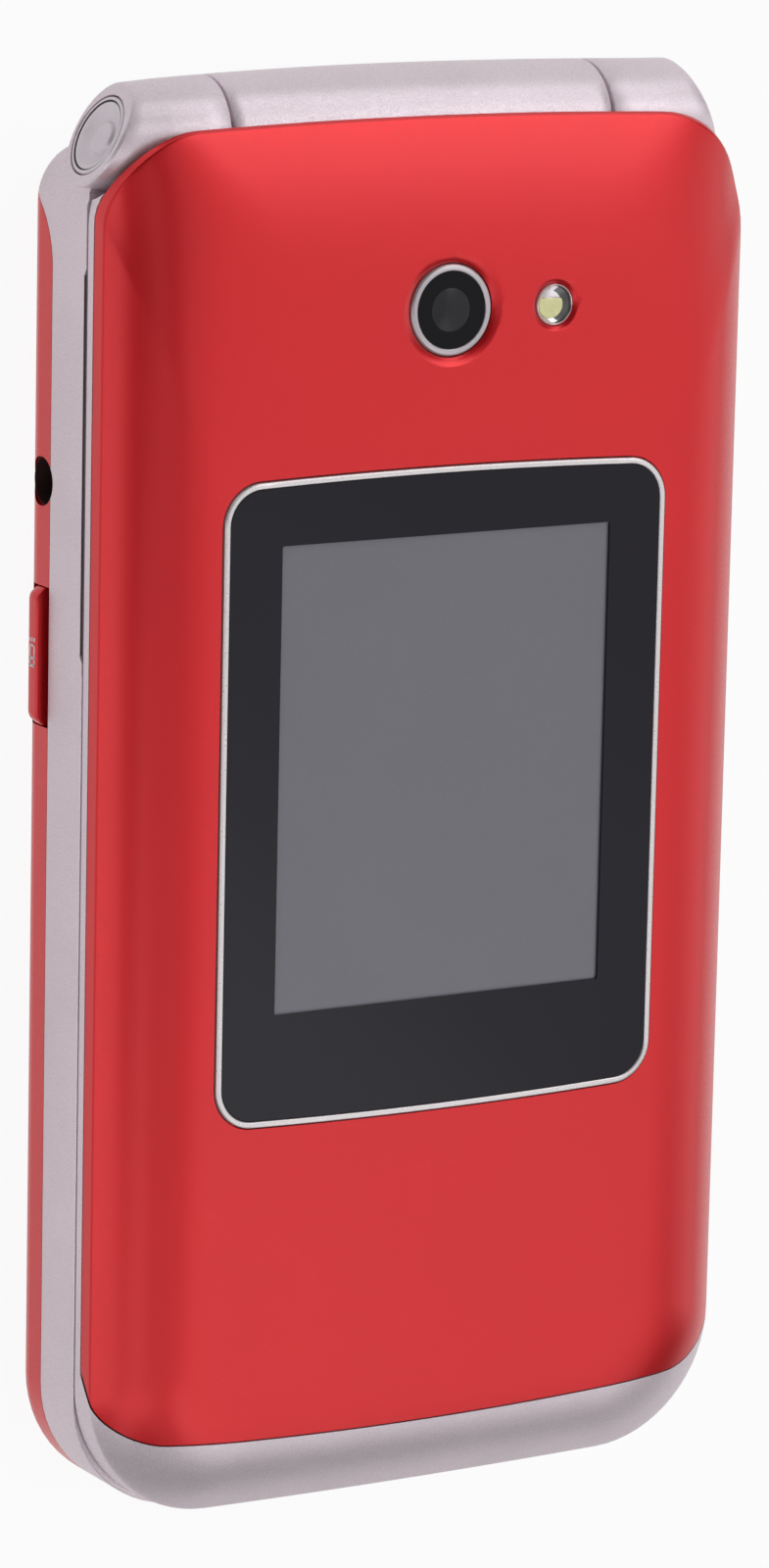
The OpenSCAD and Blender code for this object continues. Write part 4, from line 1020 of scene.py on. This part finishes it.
@dataclass(frozen=True)
class BaseShells:
    """The base's silver housing and its red rear cover, on one form."""

    phone: Phone = PHONE
    rear_run: float = 6.5
    round_h: float = 4.0
    rear_side: float = 5.8
    rear_wall: float = 1.1
    corner: float = 4.0
    wall: float = 1.6
    cavity_z: float = 8.75
    ledge_z: float = 9.4
    inside_top_y: float = 41.41
    flank_x: tuple[float, float] = (25.33, 22.9)
    flank_tilt: tuple[float, float] = (23.0, 35.0)
    chin_corner: float = 9.0
    bumps: tuple[tuple[float, float], ...] = ((39.4, 45.4), (9.9, 11.7))  # both ends of each, along y
    raise_h: float = 0.3
    raise_w: float = 1.5
    jack_r: float = 1.82
    usb_w: float = 8.2
    usb_z: tuple[float, float] = (4.35, 7.45)
    board_room: tuple[float, float, float] = (46.4, 80.2, -10.4)  # width, length and middle
    slots_at: tuple[float, float] = (11, 32.61)
    slot: tuple[float, float] = (1, 7.2)
    slot_pitch: float = 2.19
    notch_x: tuple[float, float] = (14, 22)

    def outline(self, run: float, wall: float) -> Flat:
        """Base's outline at a share of the round towards the back, set in by a wall."""
        p = self.phone
        r_chin, r_hinge = self.chin_corner * (1 - p.chin_tighten * run), self.corner * (1 - 0.5 * run)
        return plan(p.half_width - wall - self.rear_run * run, p.chin_y + wall + self.rear_run * run,
                    p.base_end_y - wall - self.rear_run * run, r_chin - wall * p.corner_loss,
                    r_hinge - wall * p.corner_loss, corner=14, ends=12)

    def form(self, wall: float = 0.0) -> Piece:
        """Solid of the base's form, set in by a wall."""
        p = self.phone
        if wall > 0:
            rings = [lift(self.outline(0, wall), p.rim_z + 5)]
        else:
            rings = [lift(self.outline(0, 0.22), p.rim_z), lift(self.outline(0, 0.06), p.rim_z - 0.06),
                     lift(self.outline(0, 0), p.rim_z - 0.22)]
        steps = 16
        for i in range(steps + 1):
            angle = math.radians(90 * i / steps)
            rings.append(lift(self.outline(1 - math.cos(angle), wall),
                              wall + (self.round_h - wall) * (1 - math.sin(angle))))
        return loft("form", rings)

    def rear_zone(self, grow: float = 0.0) -> Piece:
        """Space of the rear cover, which ends in a round near the hinge."""
        y, r, z = self.phone.base_end_y - 9.3, self.rear_run + grow, self.rear_side - self.rear_run
        steps = 32
        section = [(y + r, -40.0), (-100.0, -40.0), (-100.0, z + r)]
        section += [(y + r * math.sin(math.radians(90 * i / steps)),
                     z + r * math.cos(math.radians(90 * i / steps))) for i in range(steps + 1)]
        return loft("tool", [[(x, yy, zz) for yy, zz in section] for x in (-60.0, 60.0)])

    def flank(self, side: Side) -> Piece:
        """Space beyond the slanted flank below a knuckle."""
        p, s, tilt = self.phone, side.value, math.radians(side.of(self.flank_tilt))
        normal = Vector((s * math.cos(tilt), math.sin(tilt), 0))
        across = Vector((-s * math.sin(tilt), math.cos(tilt), 0))
        middle = Vector((s * side.of(self.flank_x), p.axis_y, 0))
        return loft("tool", [[tuple(middle + across * a + normal * depth + Vector((0, 0, z)))
                              for a, z in ((-12, -9), (9, -9), (9, 30), (-12, 30))] for depth in (0, 12)])

    def bump(self, side: Side, low: float, high: float) -> Piece:
        """Raised stretch of the rim that nearly fills the gap below the lid."""
        s, w, z = side.value, self.phone.half_width, self.phone.rim_z
        section = [(high, z - 0.5), (high, z - 0.02), (high - 0.5, z + 0.34), (low + 0.5, z + 0.34),
                   (low, z - 0.02), (low, z - 0.5)]
        return loft("tool", [[(x * s, y, h) for y, h in section] for x in (w - 0.006, w - 1.6)])

    def raised_rim(self) -> Piece:
        """Raised rim from the lugs round the chin, which leaves a thin line below the lid."""
        top, inner = self.phone.rim_z + self.raise_h, self.raise_w
        rings = [lift(self.outline(0, inner), top - 0.8), lift(self.outline(0, 0.01), top - 0.8),
                 lift(self.outline(0, 0.01), top - 0.05), lift(self.outline(0, 0.06), top),
                 lift(self.outline(0, inner), top)]
        band = loft("tool", rings, closed=True)
        return carve(band, prism("tool", block(80, 80, 1, 0, self.phone.parting_y - 40.8), 0, 20), Carve.KEEP)

    def openings(self, piece: Piece) -> None:
        """Cuts the headset and charging openings."""
        p = self.phone
        carve(piece, rod("tool", [(-p.half_width - 1, self.jack_r), (-p.half_width + 3, self.jack_r)],
                         p.jack_y, p.jack_z, count=64))
        carve(piece, prism("tool", block(self.usb_w, 12, 0.3, 0, p.chin_y + 3), *self.usb_z))

    def housing(self) -> Piece:
        """Silver housing with its rim, the seat of the keypad and the room for the middle barrel."""
        p, w = self.phone, self.phone.half_width
        piece = self.form()
        piece.name = piece.data.name = "housing_skin"
        for side in Side:
            for low, high in self.bumps:
                carve(piece, self.bump(side, low, high), Carve.JOIN)
            carve(piece, self.flank(side))
        carve(piece, self.raised_rim(), Carve.JOIN)
        carve(piece, self.rear_zone(0.06))
        room = p.barrel_r + 0.3
        carve(piece, rod("tool", [(p.barrel_left - p.joint_gap, room), (p.barrel_right + p.joint_gap, room)],
                         p.axis_y, p.axis_z))
        inner = plan(w - self.wall, p.chin_y + self.wall, self.inside_top_y, p.chin_corner - self.wall, 1)
        carve(piece, prism("tool", inner, -1, self.cavity_z))
        seat = plan(w - 3, p.chin_y + 3, self.inside_top_y + 1, p.chin_corner - 3, 2)
        carve(piece, prism("tool", seat, self.ledge_z, p.rim_z + 2))
        width, length, y = self.board_room
        carve(piece, prism("tool", block(width, length, 1, 0, y), self.cavity_z - 1, self.ledge_z + 1))
        self.openings(piece)
        hinge = Hinge()
        for side in Side:
            carve(piece, loft("tool", [hinge.face(side, hinge.cap_r + 0.15, -hinge.cap_depth),
                                       hinge.face(side, hinge.cap_r + 0.15, 4)]))
        return shade(piece, 15)

    def rear_cover(self) -> Piece:
        """Red rear cover with its openings, speaker slots and fingernail notch."""
        p, w = self.phone, self.phone.half_width
        piece = self.form()
        piece.name = piece.data.name = "rear_cover_skin"
        carve(piece, self.rear_zone(), Carve.KEEP)
        carve(piece, self.form(self.rear_wall))
        self.openings(piece)
        for x, half in ((-w + 1, 5.24), (w - 1, 9.1)):
            carve(piece, prism("tool", block(4, 2 * half, 0.15, x, p.side_key_y), p.side_key_z - 0.15, 9))
        x, y = self.slots_at
        for i in range(-2, 3):
            carve(piece, prism("tool", block(*self.slot, 0.49, x + i * self.slot_pitch, y), -1, 3))
        notch = [(x, 0.7) for x in self.notch_x]
        carve(piece, rod("tool", notch, p.chin_y, self.rear_side, count=48))
        return shade(piece, 28)

    def build(self) -> None:
        """Builds and dresses the base's shells."""
        rim = self.phone.rim_z
        # The upward chamfer faces just below the rim's top are painted dark: painted shade for the gap below
        # the lid.
        housing = paint(self.housing(), (SILVER, PAINTED_CREVICE_SHADE),
                        lambda middle, normal: rim - 0.1 < middle.z < rim - 0.005 and normal.z > 0.8)
        dress(housing, SILVER, "base", "silver_paint", "front_housing")
        dress(self.rear_cover(), RED, "rear_cover", "red_paint", "rear_cover")


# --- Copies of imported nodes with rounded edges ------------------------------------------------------


def rounded_copy(name: str, node: str, width: float, angle: float = 40.0) -> Piece:
    """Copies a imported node, joins its loose triangles and rounds its edges.

    Args:
        name: Name of the new piece.
        node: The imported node.
        width: Width of the rounding in millimetres.
        angle: Sharpness in degrees from which an edge is rounded.

    Returns:
        The piece, at the node's place.
    """
    piece = place(name, FRAME["nodes"][node].data.copy())
    piece.data.name = name
    piece.data.materials.clear()
    edit(piece, lambda: bpy.ops.mesh.remove_doubles(threshold=1e-7),
         lambda: bpy.ops.mesh.dissolve_limited(angle_limit=math.radians(0.15)))
    if width > 0:
        soften(piece, width, angle)
    return shade(piece, 30)


@dataclass(frozen=True)
class SideControls:
    """Torch key with its sign, volume key with its marks, and the rim of the headset hole."""

    phone: Phone = PHONE
    torch_x: float = 27.95
    volume_x: float = 28.1
    root_x: float = 25.6
    torch_l: float = 10.3
    volume_l: float = 18.0
    high_z: float = 5.7
    print_z: float = 4.48
    flank_r: float = 1.1
    print_t: float = 0.012

    def reach(self, side: Side) -> float:
        """How far a side's key reaches out."""
        return side.of((self.torch_x, self.volume_x))

    def section(self, side: Side, y: float, inset: float) -> Ring:
        """Cross section of a side key, set in from its faces by an amount."""
        out, r = self.reach(side) - inset, self.flank_r
        low, top = self.phone.side_key_z + inset * 0.3, self.high_z - inset * 0.1
        under = [(out - r * (1 - math.cos(a)), low + r * (1 - math.sin(a)))
                 for a in map(math.radians, range(75, -1, -15))]
        over = [(out, top - 0.72), (out - 0.03, top - 0.62), (out - 0.1, top - 0.54), (out - 0.2, top - 0.5)]
        outline = [(self.root_x, low), *under, *over, (self.root_x, top - 0.5)]
        return [(side.value * x, y, z) for x, z in outline]

    def key(self, name: str, side: Side, length: float) -> Piece:
        """Side key with tapered ends, a flat outer face and a round lower flank."""
        half, y = length / 2, self.phone.side_key_y
        ends = ((0.0, 0.7), (0.1, 0.5), (0.5, 0.12), (0.75, 0.03), (1.0, 0.0))
        stations = [(-half + step, inset) for step, inset in ends] \
            + [(half - step, inset) for step, inset in reversed(ends)]
        return shade(loft(name, [self.section(side, y + at, inset) for at, inset in stations]), 24)

    def bar(self, side: Side, y: float, z: float, length: float, width: float) -> Piece:
        """Thin printed bar on a side face."""
        x, out = side.value * self.reach(side), side.value * self.print_t
        ring = [(y + a * length / 2, z + b * width / 2) for a, b in ((-1, -1), (1, -1), (1, 1), (-1, 1))]
        return loft("bar", [[(at, a, b) for a, b in ring] for at in (x - out * 4, x + out)])

    def torch_sign(self) -> Piece:
        """Sign of a hand torch: body, head and three rays."""
        y, z, w, line = self.phone.side_key_y + 0.1, self.print_z, 0.34, 0.19
        strokes = [(-0.05, w, 1.5, line), (-0.05, -w, 1.5, line), (-0.8, 0, line, 2 * w + line),
                   (-0.25, 0, line, 2 * w), (0.72, 0, line, 1.2 * w)]
        strokes += [(1.15, dz, 0.3, line) for dz in (-0.36, 0.0, 0.36)]
        return join("torch_sign", *[self.bar(Side.LEFT, y + dy, z + dz, length, width)
                                    for dy, dz, length, width in strokes])

    def volume_marks(self) -> Piece:
        """Plus and minus marks at the ends of the volume key."""
        y, z, reach, long, wide = self.phone.side_key_y, self.print_z, 6.2, 1.0, 0.2
        bars = ((reach, long, wide), (reach, wide, long), (-reach, long, wide))
        return join("volume_marks", *[self.bar(Side.RIGHT, y + at, z, length, width)
                                      for at, length, width in bars])

    def build(self) -> None:
        """Builds and dresses the side controls."""
        for node, side, length in (("torch_key", Side.LEFT, self.torch_l),
                                   ("volume_key", Side.RIGHT, self.volume_l)):
            dress(self.key(f"{node}_cap", side, length), RED, node, "red_paint", node)
        dress(self.torch_sign(), PRINT, "torch_key", "red_paint")
        dress(self.volume_marks(), PRINT, "volume_key", "red_paint")
        p, x = self.phone, self.phone.half_width
        liner = rod("headset_liner", [(0.4 - x, 1.83), (0.4 - x, 1.76), (3 - x, 1.76), (3 - x, 1.83)],
                    p.jack_y, p.jack_z, closed=True, count=64)
        dress(shade(liner), SOCKET, "base", "black_plastic")


@dataclass(frozen=True)
class Keypad:
    """Key caps with their printed signs."""

    top_z: float = 10.95
    pitch_x: float = 15.4
    pitch_y: float = 12.0
    first_y: float = -43.0
    nav_y: float = 13.2
    side_x: float = 17.2
    side_y: float = 6.4
    crown_r: float = 30.0
    ring_crown_r: float = 60.0
    figure_size: float = 6.2
    star_size: float = 8.5
    ok_size: float = 3.6
    ok_sink: float = 0.1
    arrow: float = 0.9
    arrow_reach: tuple[float, float] = (8.6, 10.0)

    def text(self, body: str, x: float, y: float, size: float) -> Piece:
        """Printed figure on a key's crown."""
        deselect()
        bpy.ops.object.text_add(location=(x * MM, y * MM, (self.top_z - 0.035) * MM))
        sign = bpy.context.object
        sign.data.body, sign.data.size, sign.data.extrude = body, size * MM, 0.05 * MM
        sign.data.align_x, sign.data.align_y, sign.data.resolution_u = "CENTER", "CENTER", 4
        bpy.ops.object.convert(target="MESH")
        sign = bpy.context.object
        edit(sign, lambda: bpy.ops.mesh.remove_doubles(threshold=1e-7))
        return settle(sign)

    def drop(self, sign: Piece, y: float, radius: float) -> Piece:
        """Bends a sign down to the key's crowned top."""
        for vertex in sign.data.vertices:
            vertex.co.z -= (vertex.co.y - y * MM) ** 2 / (2 * radius * MM)
        return sign

    def plate(self, flat: Flat, height: float) -> Piece:
        """Thin printed shape on a key's crown."""
        return loft("plate", [lift(flat, height - 0.06), lift(flat, height + 0.015)])

    def handset(self, x: float, y: float, down: bool) -> Piece:
        """Sign of a telephone handset, lifted or laid down."""
        r0, r1, half = 1.6, 2.35, 62
        angles = [math.radians(90 + mix(-half, half, i / 16)) for i in range(17)]
        outer = [(r1 * math.cos(a), r1 * math.sin(a)) for a in angles]
        inner = [(r0 * math.cos(a), r0 * math.sin(a)) for a in reversed(angles)]
        left, right = outer[-1], outer[0]
        ring = outer + [(left[0] - 0.1, left[1] - 0.75), (left[0] + 0.75, left[1] - 1.0)] + inner \
            + [(right[0] - 0.75, right[1] - 1.0), (right[0] + 0.1, right[1] - 0.75)]
        turn = math.radians(0 if down else 130)
        flat = [(x + a * math.cos(turn) - (b - 1.3) * math.sin(turn),
                 y + a * math.sin(turn) + (b - 1.3) * math.cos(turn)) for a, b in ring]
        return self.drop(self.plate(flat, self.top_z), y, self.crown_r)

    def cap(self, node: str, sign: Piece, cap: Finish, ink: Finish, slot: str) -> None:
        """Key cap joined with its printed sign, dressed in both finishes."""
        piece = rounded_copy(f"cap_{node}", node, 0.14)
        piece.data.materials.append(cap.make())
        sign.data.materials.clear()
        sign.data.materials.append(ink.make())
        dress(join(f"cap_{node}", shade(sign, 30), piece), cap, node, slot, node)

    def build(self) -> None:
        """Builds and dresses the keys."""
        grid = {"key_1": "1", "key_2": "2", "key_3": "3", "key_4": "4", "key_5": "5", "key_6": "6",
                "key_7": "7", "key_8": "8", "key_9": "9", "key_star": "*", "key_0": "0", "key_hash": "#"}
        for i, (node, body) in enumerate(grid.items()):
            x = (i % 3 - 1) * self.pitch_x
            y = self.first_y + (3 - i // 3) * self.pitch_y
            size = self.star_size if body == "*" else self.figure_size
            sign = self.drop(self.text(body, x, y, size), y, self.crown_r)
            self.cap(node, sign, KEYCAP, PRINT, "key_plastic")
        y = self.nav_y + self.side_y
        for node, x in (("soft_key_left", -self.side_x), ("soft_key_right", self.side_x)):
            mark = self.drop(self.plate(block(3.4, 0.5, 0.24, x, y, 3), self.top_z), y, self.crown_r)
            self.cap(node, mark, KEYCAP, PRINT, "key_plastic")
        y = self.nav_y - self.side_y
        self.cap("call_key", self.handset(-self.side_x, y, False), KEYCAP, GREEN_PRINT, "green_key")
        self.cap("end_key", self.handset(self.side_x, y, True), KEYCAP, RED_PRINT, "red_paint")
        arrows = []
        for turn in range(4):
            a, reach, w = math.radians(90 * turn), self.arrow_reach[turn % 2], self.arrow
            flat = [(px * math.cos(a) - py * math.sin(a), self.nav_y + px * math.sin(a) + py * math.cos(a))
                    for px, py in ((reach, 0.0), (reach - w, w), (reach - w, -w))]
            arrows.append(self.drop(self.plate(flat, self.top_z), self.nav_y, self.ring_crown_r))
        self.cap("nav_ring", join("arrows", *arrows), KEYCAP, PRINT, "key_plastic")
        ok = self.text("OK", 0, self.nav_y, self.ok_size)
        for vertex in ok.data.vertices:
            vertex.co.z -= self.ok_sink * MM
        self.cap("ok_key", ok, SATIN, KEYCAP, "ok_plastic")
        dress(rounded_copy("keypad_face", "keypad_plate", 0.12), SATIN, "base", "silver_paint",
              "keypad_plate")


@dataclass(frozen=True)
class LidInside:
    """What shows when the lid is open: bezel, inner window and inner display."""

    window_z: float = 11.47
    window_t: float = 0.6
    picture_w: float = 43.2
    picture_l: float = 57.586
    border: float = 1.2
    end: float = 2.2
    middle_y: float = -8.507
    pane_corner: float = 1.2
    picture_corner: float = 0.15
    steps: int = 8

    def outline(self, w: float, length: float, r: float, inset: float = 0.0) -> Flat:
        """Rectangle with round corners about the display's middle, set in by an amount."""
        y = self.middle_y
        return plan(w / 2 - inset, y - length / 2 + inset, y + length / 2 - inset, r - inset, r - inset, 0.0,
                    self.steps, self.steps)

    def window(self) -> Piece:
        """Black pane with a clear place over the inner display."""
        low, high, soft = self.window_z, self.window_z + self.window_t, 0.06
        pane = (self.picture_w + 2 * self.border, self.picture_l + 2 * self.end, self.pane_corner)
        hole = self.outline(self.picture_w, self.picture_l, self.picture_corner)
        rings = [lift(self.outline(*pane), high), lift(self.outline(*pane), low + soft),
                 lift(self.outline(*pane, soft), low), lift(hole, low), lift(hole, high)]
        return shade(loft("inner_pane", rings, closed=True), 20)

    def build(self) -> None:
        """Builds and dresses the lid's inside."""
        dress(self.window(), BLACK_GLASS, "lid", "dark_glass", "inner_window")
        picture = block(self.picture_w + 0.02, self.picture_l + 0.02, 0.05, 0, self.middle_y, 2)
        face = prism("inner_display", picture, self.window_z + 0.18, self.window_z + self.window_t)
        dress(shade(face), DISPLAY, "lid", "display")
        dress(rounded_copy("lid_bezel_face", "lid_bezel", 0.1), DARK, "lid", "black_plastic", "lid_bezel")


# --- Stage -----------------------------------------------------------------------------------------


@dataclass(frozen=True)
class Stage:
    """Floor, lamps and camera."""

    camera_at: tuple[float, float, float] = (-244.37, 99.06, 423.91)
    right: tuple[float, float, float] = (0.864006, 0.02111035, 0.50303876)
    down: tuple[float, float, float] = (-0.08401693, -0.9790663, 0.1853924)
    forward: tuple[float, float, float] = (0.49642199, -0.20244391, -0.84414552)
    focal: float = 150.04
    floor_size: float = 6.0
    floor_z: float = -0.00005
    floor_seen: float = 0.93
    # Painted shade: reflections see less of the floor's white beyond the chin, which darkens the chin's lower
    # edge.
    floor_mirrored: tuple[float, float, float, float] = (-0.078, -0.056, 0.2, 0.6)  # from, to, shares
    # Painted reflection: glossy rays see the world white low round the horizon, fading out about 14 degrees
    # up; it lights no diffuse surface.
    world_mirrored: tuple[float, float, float, float] = (0.02, 0.24, 0.8, 0.0)
    world_light: float = 0.06
    lamp_size: float = 0.5
    lamps: tuple[tuple[str, float, float, float], ...] = (
        ("left_low", 256, 24, 1.15), ("hinge_left", 325, 9, 0.6), ("right_low", 98, 22, 0.75),
        ("hinge_right", 52, 50, 1.9), ("hinge_low", 28, 24, 1.35), ("right", 98, 50, 0.58),
        ("chin_right", 143, 51, 0.85), ("chin", 180, 56, 0.4), ("chin_left", 228, 46, 0.9),
        ("high_hinge", 60, 72, 0.35), ("high_right", 135, 70, 0.28), ("high_left", 225, 70, 0.48))

    def camera(self) -> None:
        """Sets up the camera."""
        lens = bpy.data.cameras.new("camera")
        lens.lens, lens.sensor_width, lens.clip_start = self.focal, 36.0, 0.01
        camera = place("camera", lens)
        columns = (self.right, [-v for v in self.down], [-v for v in self.forward])
        turn = Matrix([[columns[c][r] for c in range(3)] for r in range(3)]).to_4x4()
        camera.matrix_world = Matrix.Translation(Vector(self.camera_at) * MM) @ turn
        bpy.context.scene.camera = camera

    def lamp(self, name: str, azimuth: float, elevation: float, power: float) -> None:
        """Sets a soft square lamp that looks at the phone.

        Args:
            name: Name of the lamp.
            azimuth: Direction in degrees, from the hinge end towards the right side.
            elevation: Height above the floor in degrees.
            power: Power in watts.
        """
        light = bpy.data.lights.new(name, "AREA")
        light.shape, light.size, light.energy = "SQUARE", self.lamp_size, power
        lamp = place(name, light)
        turn, rise = math.radians(azimuth), math.radians(elevation)
        lamp.location = (math.cos(rise) * math.sin(turn), math.cos(rise) * math.cos(turn), math.sin(rise))
        lamp.rotation_euler = (-lamp.location).to_track_quat("-Z", "Y").to_euler()

    def blend(self, tree: bpy.types.NodeTree, kinds: tuple[str, str, str],
              share: bpy.types.NodeSocket) -> None:
        """Mixes a tree's lit shader with plain white by a share, into the tree's output.

        Args:
            tree: The node tree.
            kinds: Names of the lit shader and of the output, and the kind of the white shader.
            share: Output with the share of white.
        """
        lit, output, kind = kinds
        white, mixer = tree.nodes.new(kind), tree.nodes.new("ShaderNodeMixShader")
        tree.links.new(share, mixer.inputs[0])
        tree.links.new(tree.nodes[lit].outputs[0], mixer.inputs[1])
        tree.links.new(white.outputs[0], mixer.inputs[2])
        tree.links.new(mixer.outputs[0], tree.nodes[output].inputs["Surface"])

    def floor(self) -> None:
        """Lays a white floor that keeps the phone's soft shadow; reflections see less of its white beyond the
        chin, a painted shade on the chin's lower edge.
        """
        deselect()
        bpy.ops.mesh.primitive_plane_add(size=self.floor_size, location=(0, 0, self.floor_z))
        floor = bpy.context.object
        floor.name = "floor"
        material = bpy.data.materials.new("floor_white")
        material.use_nodes = True
        tree = material.node_tree
        shader = tree.nodes["Principled BSDF"]
        shader.inputs["Base Color"].default_value = (0.9, 0.9, 0.9, 1)
        shader.inputs["Roughness"].default_value = 0.9
        # Painted shade: the share of white that reflections see drops beyond the chin.
        mirrored = map_range(tree, coordinate(tree, "Object", "Y"), *self.floor_mirrored)
        path = tree.nodes.new("ShaderNodeLightPath").outputs
        share = multiply_add(tree, path["Is Camera Ray"], self.floor_seen, 0.0)
        share = multiply_add(tree, path["Is Glossy Ray"], mirrored, share)
        share = multiply_add(tree, path["Is Transmission Ray"], mirrored, share)
        self.blend(tree, ("Principled BSDF", "Material Output", "ShaderNodeEmission"), share)
        floor.data.materials.append(material)

    def world(self) -> None:
        """Sets the surrounding light, the white that the camera sees beyond the floor, and a painted
        reflection: a white band low round the horizon that only glossy reflections see.
        """
        world = bpy.data.worlds.new("studio")
        bpy.context.scene.world = world
        world.use_nodes = True
        tree = world.node_tree
        around = tree.nodes["Background"]
        around.inputs["Color"].default_value = (1, 1, 1, 1)
        around.inputs["Strength"].default_value = self.world_light
        # Painted reflection: a white band low round the horizon, seen only in glossy reflections.
        mirrored = map_range(tree, coordinate(tree, "Generated", "Z"), *self.world_mirrored)
        path = tree.nodes.new("ShaderNodeLightPath").outputs
        share = multiply_add(tree, path["Is Glossy Ray"], mirrored, path["Is Camera Ray"])
        self.blend(tree, ("Background", "World Output", "ShaderNodeBackground"), share)

    def build(self) -> None:
        """Builds the stage."""
        bpy.context.scene.view_settings.view_transform = "Standard"
        self.camera()
        self.floor()
        self.world()
        for name, azimuth, elevation, power in self.lamps:
            self.lamp(name, azimuth, elevation, power)


def dress_packed_nodes() -> None:
    """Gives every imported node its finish."""
    for name, node in FRAME["nodes"].items():
        finish = NODE_FINISHES.get(name, KEYCAP if "key" in name else SILVER)
        node.data.materials.clear()
        node.data.materials.append(finish.make())
    LOG.info("%d packed nodes dressed", len(FRAME["nodes"]))


def main() -> None:
    """Builds the stage and the phone."""
    logging.basicConfig(level=logging.INFO, format="%(name)s: %(message)s")
    FRAME.update(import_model())
    Stage().build()
    dress_packed_nodes()
    for part in (LidShells(), OuterWindow(), CameraAndFlash(), Hinge(), BaseShells(), SideControls(),
                 Keypad(), LidInside()):
        part.build()
    deselect()


if __name__ == "__main__":
    main()
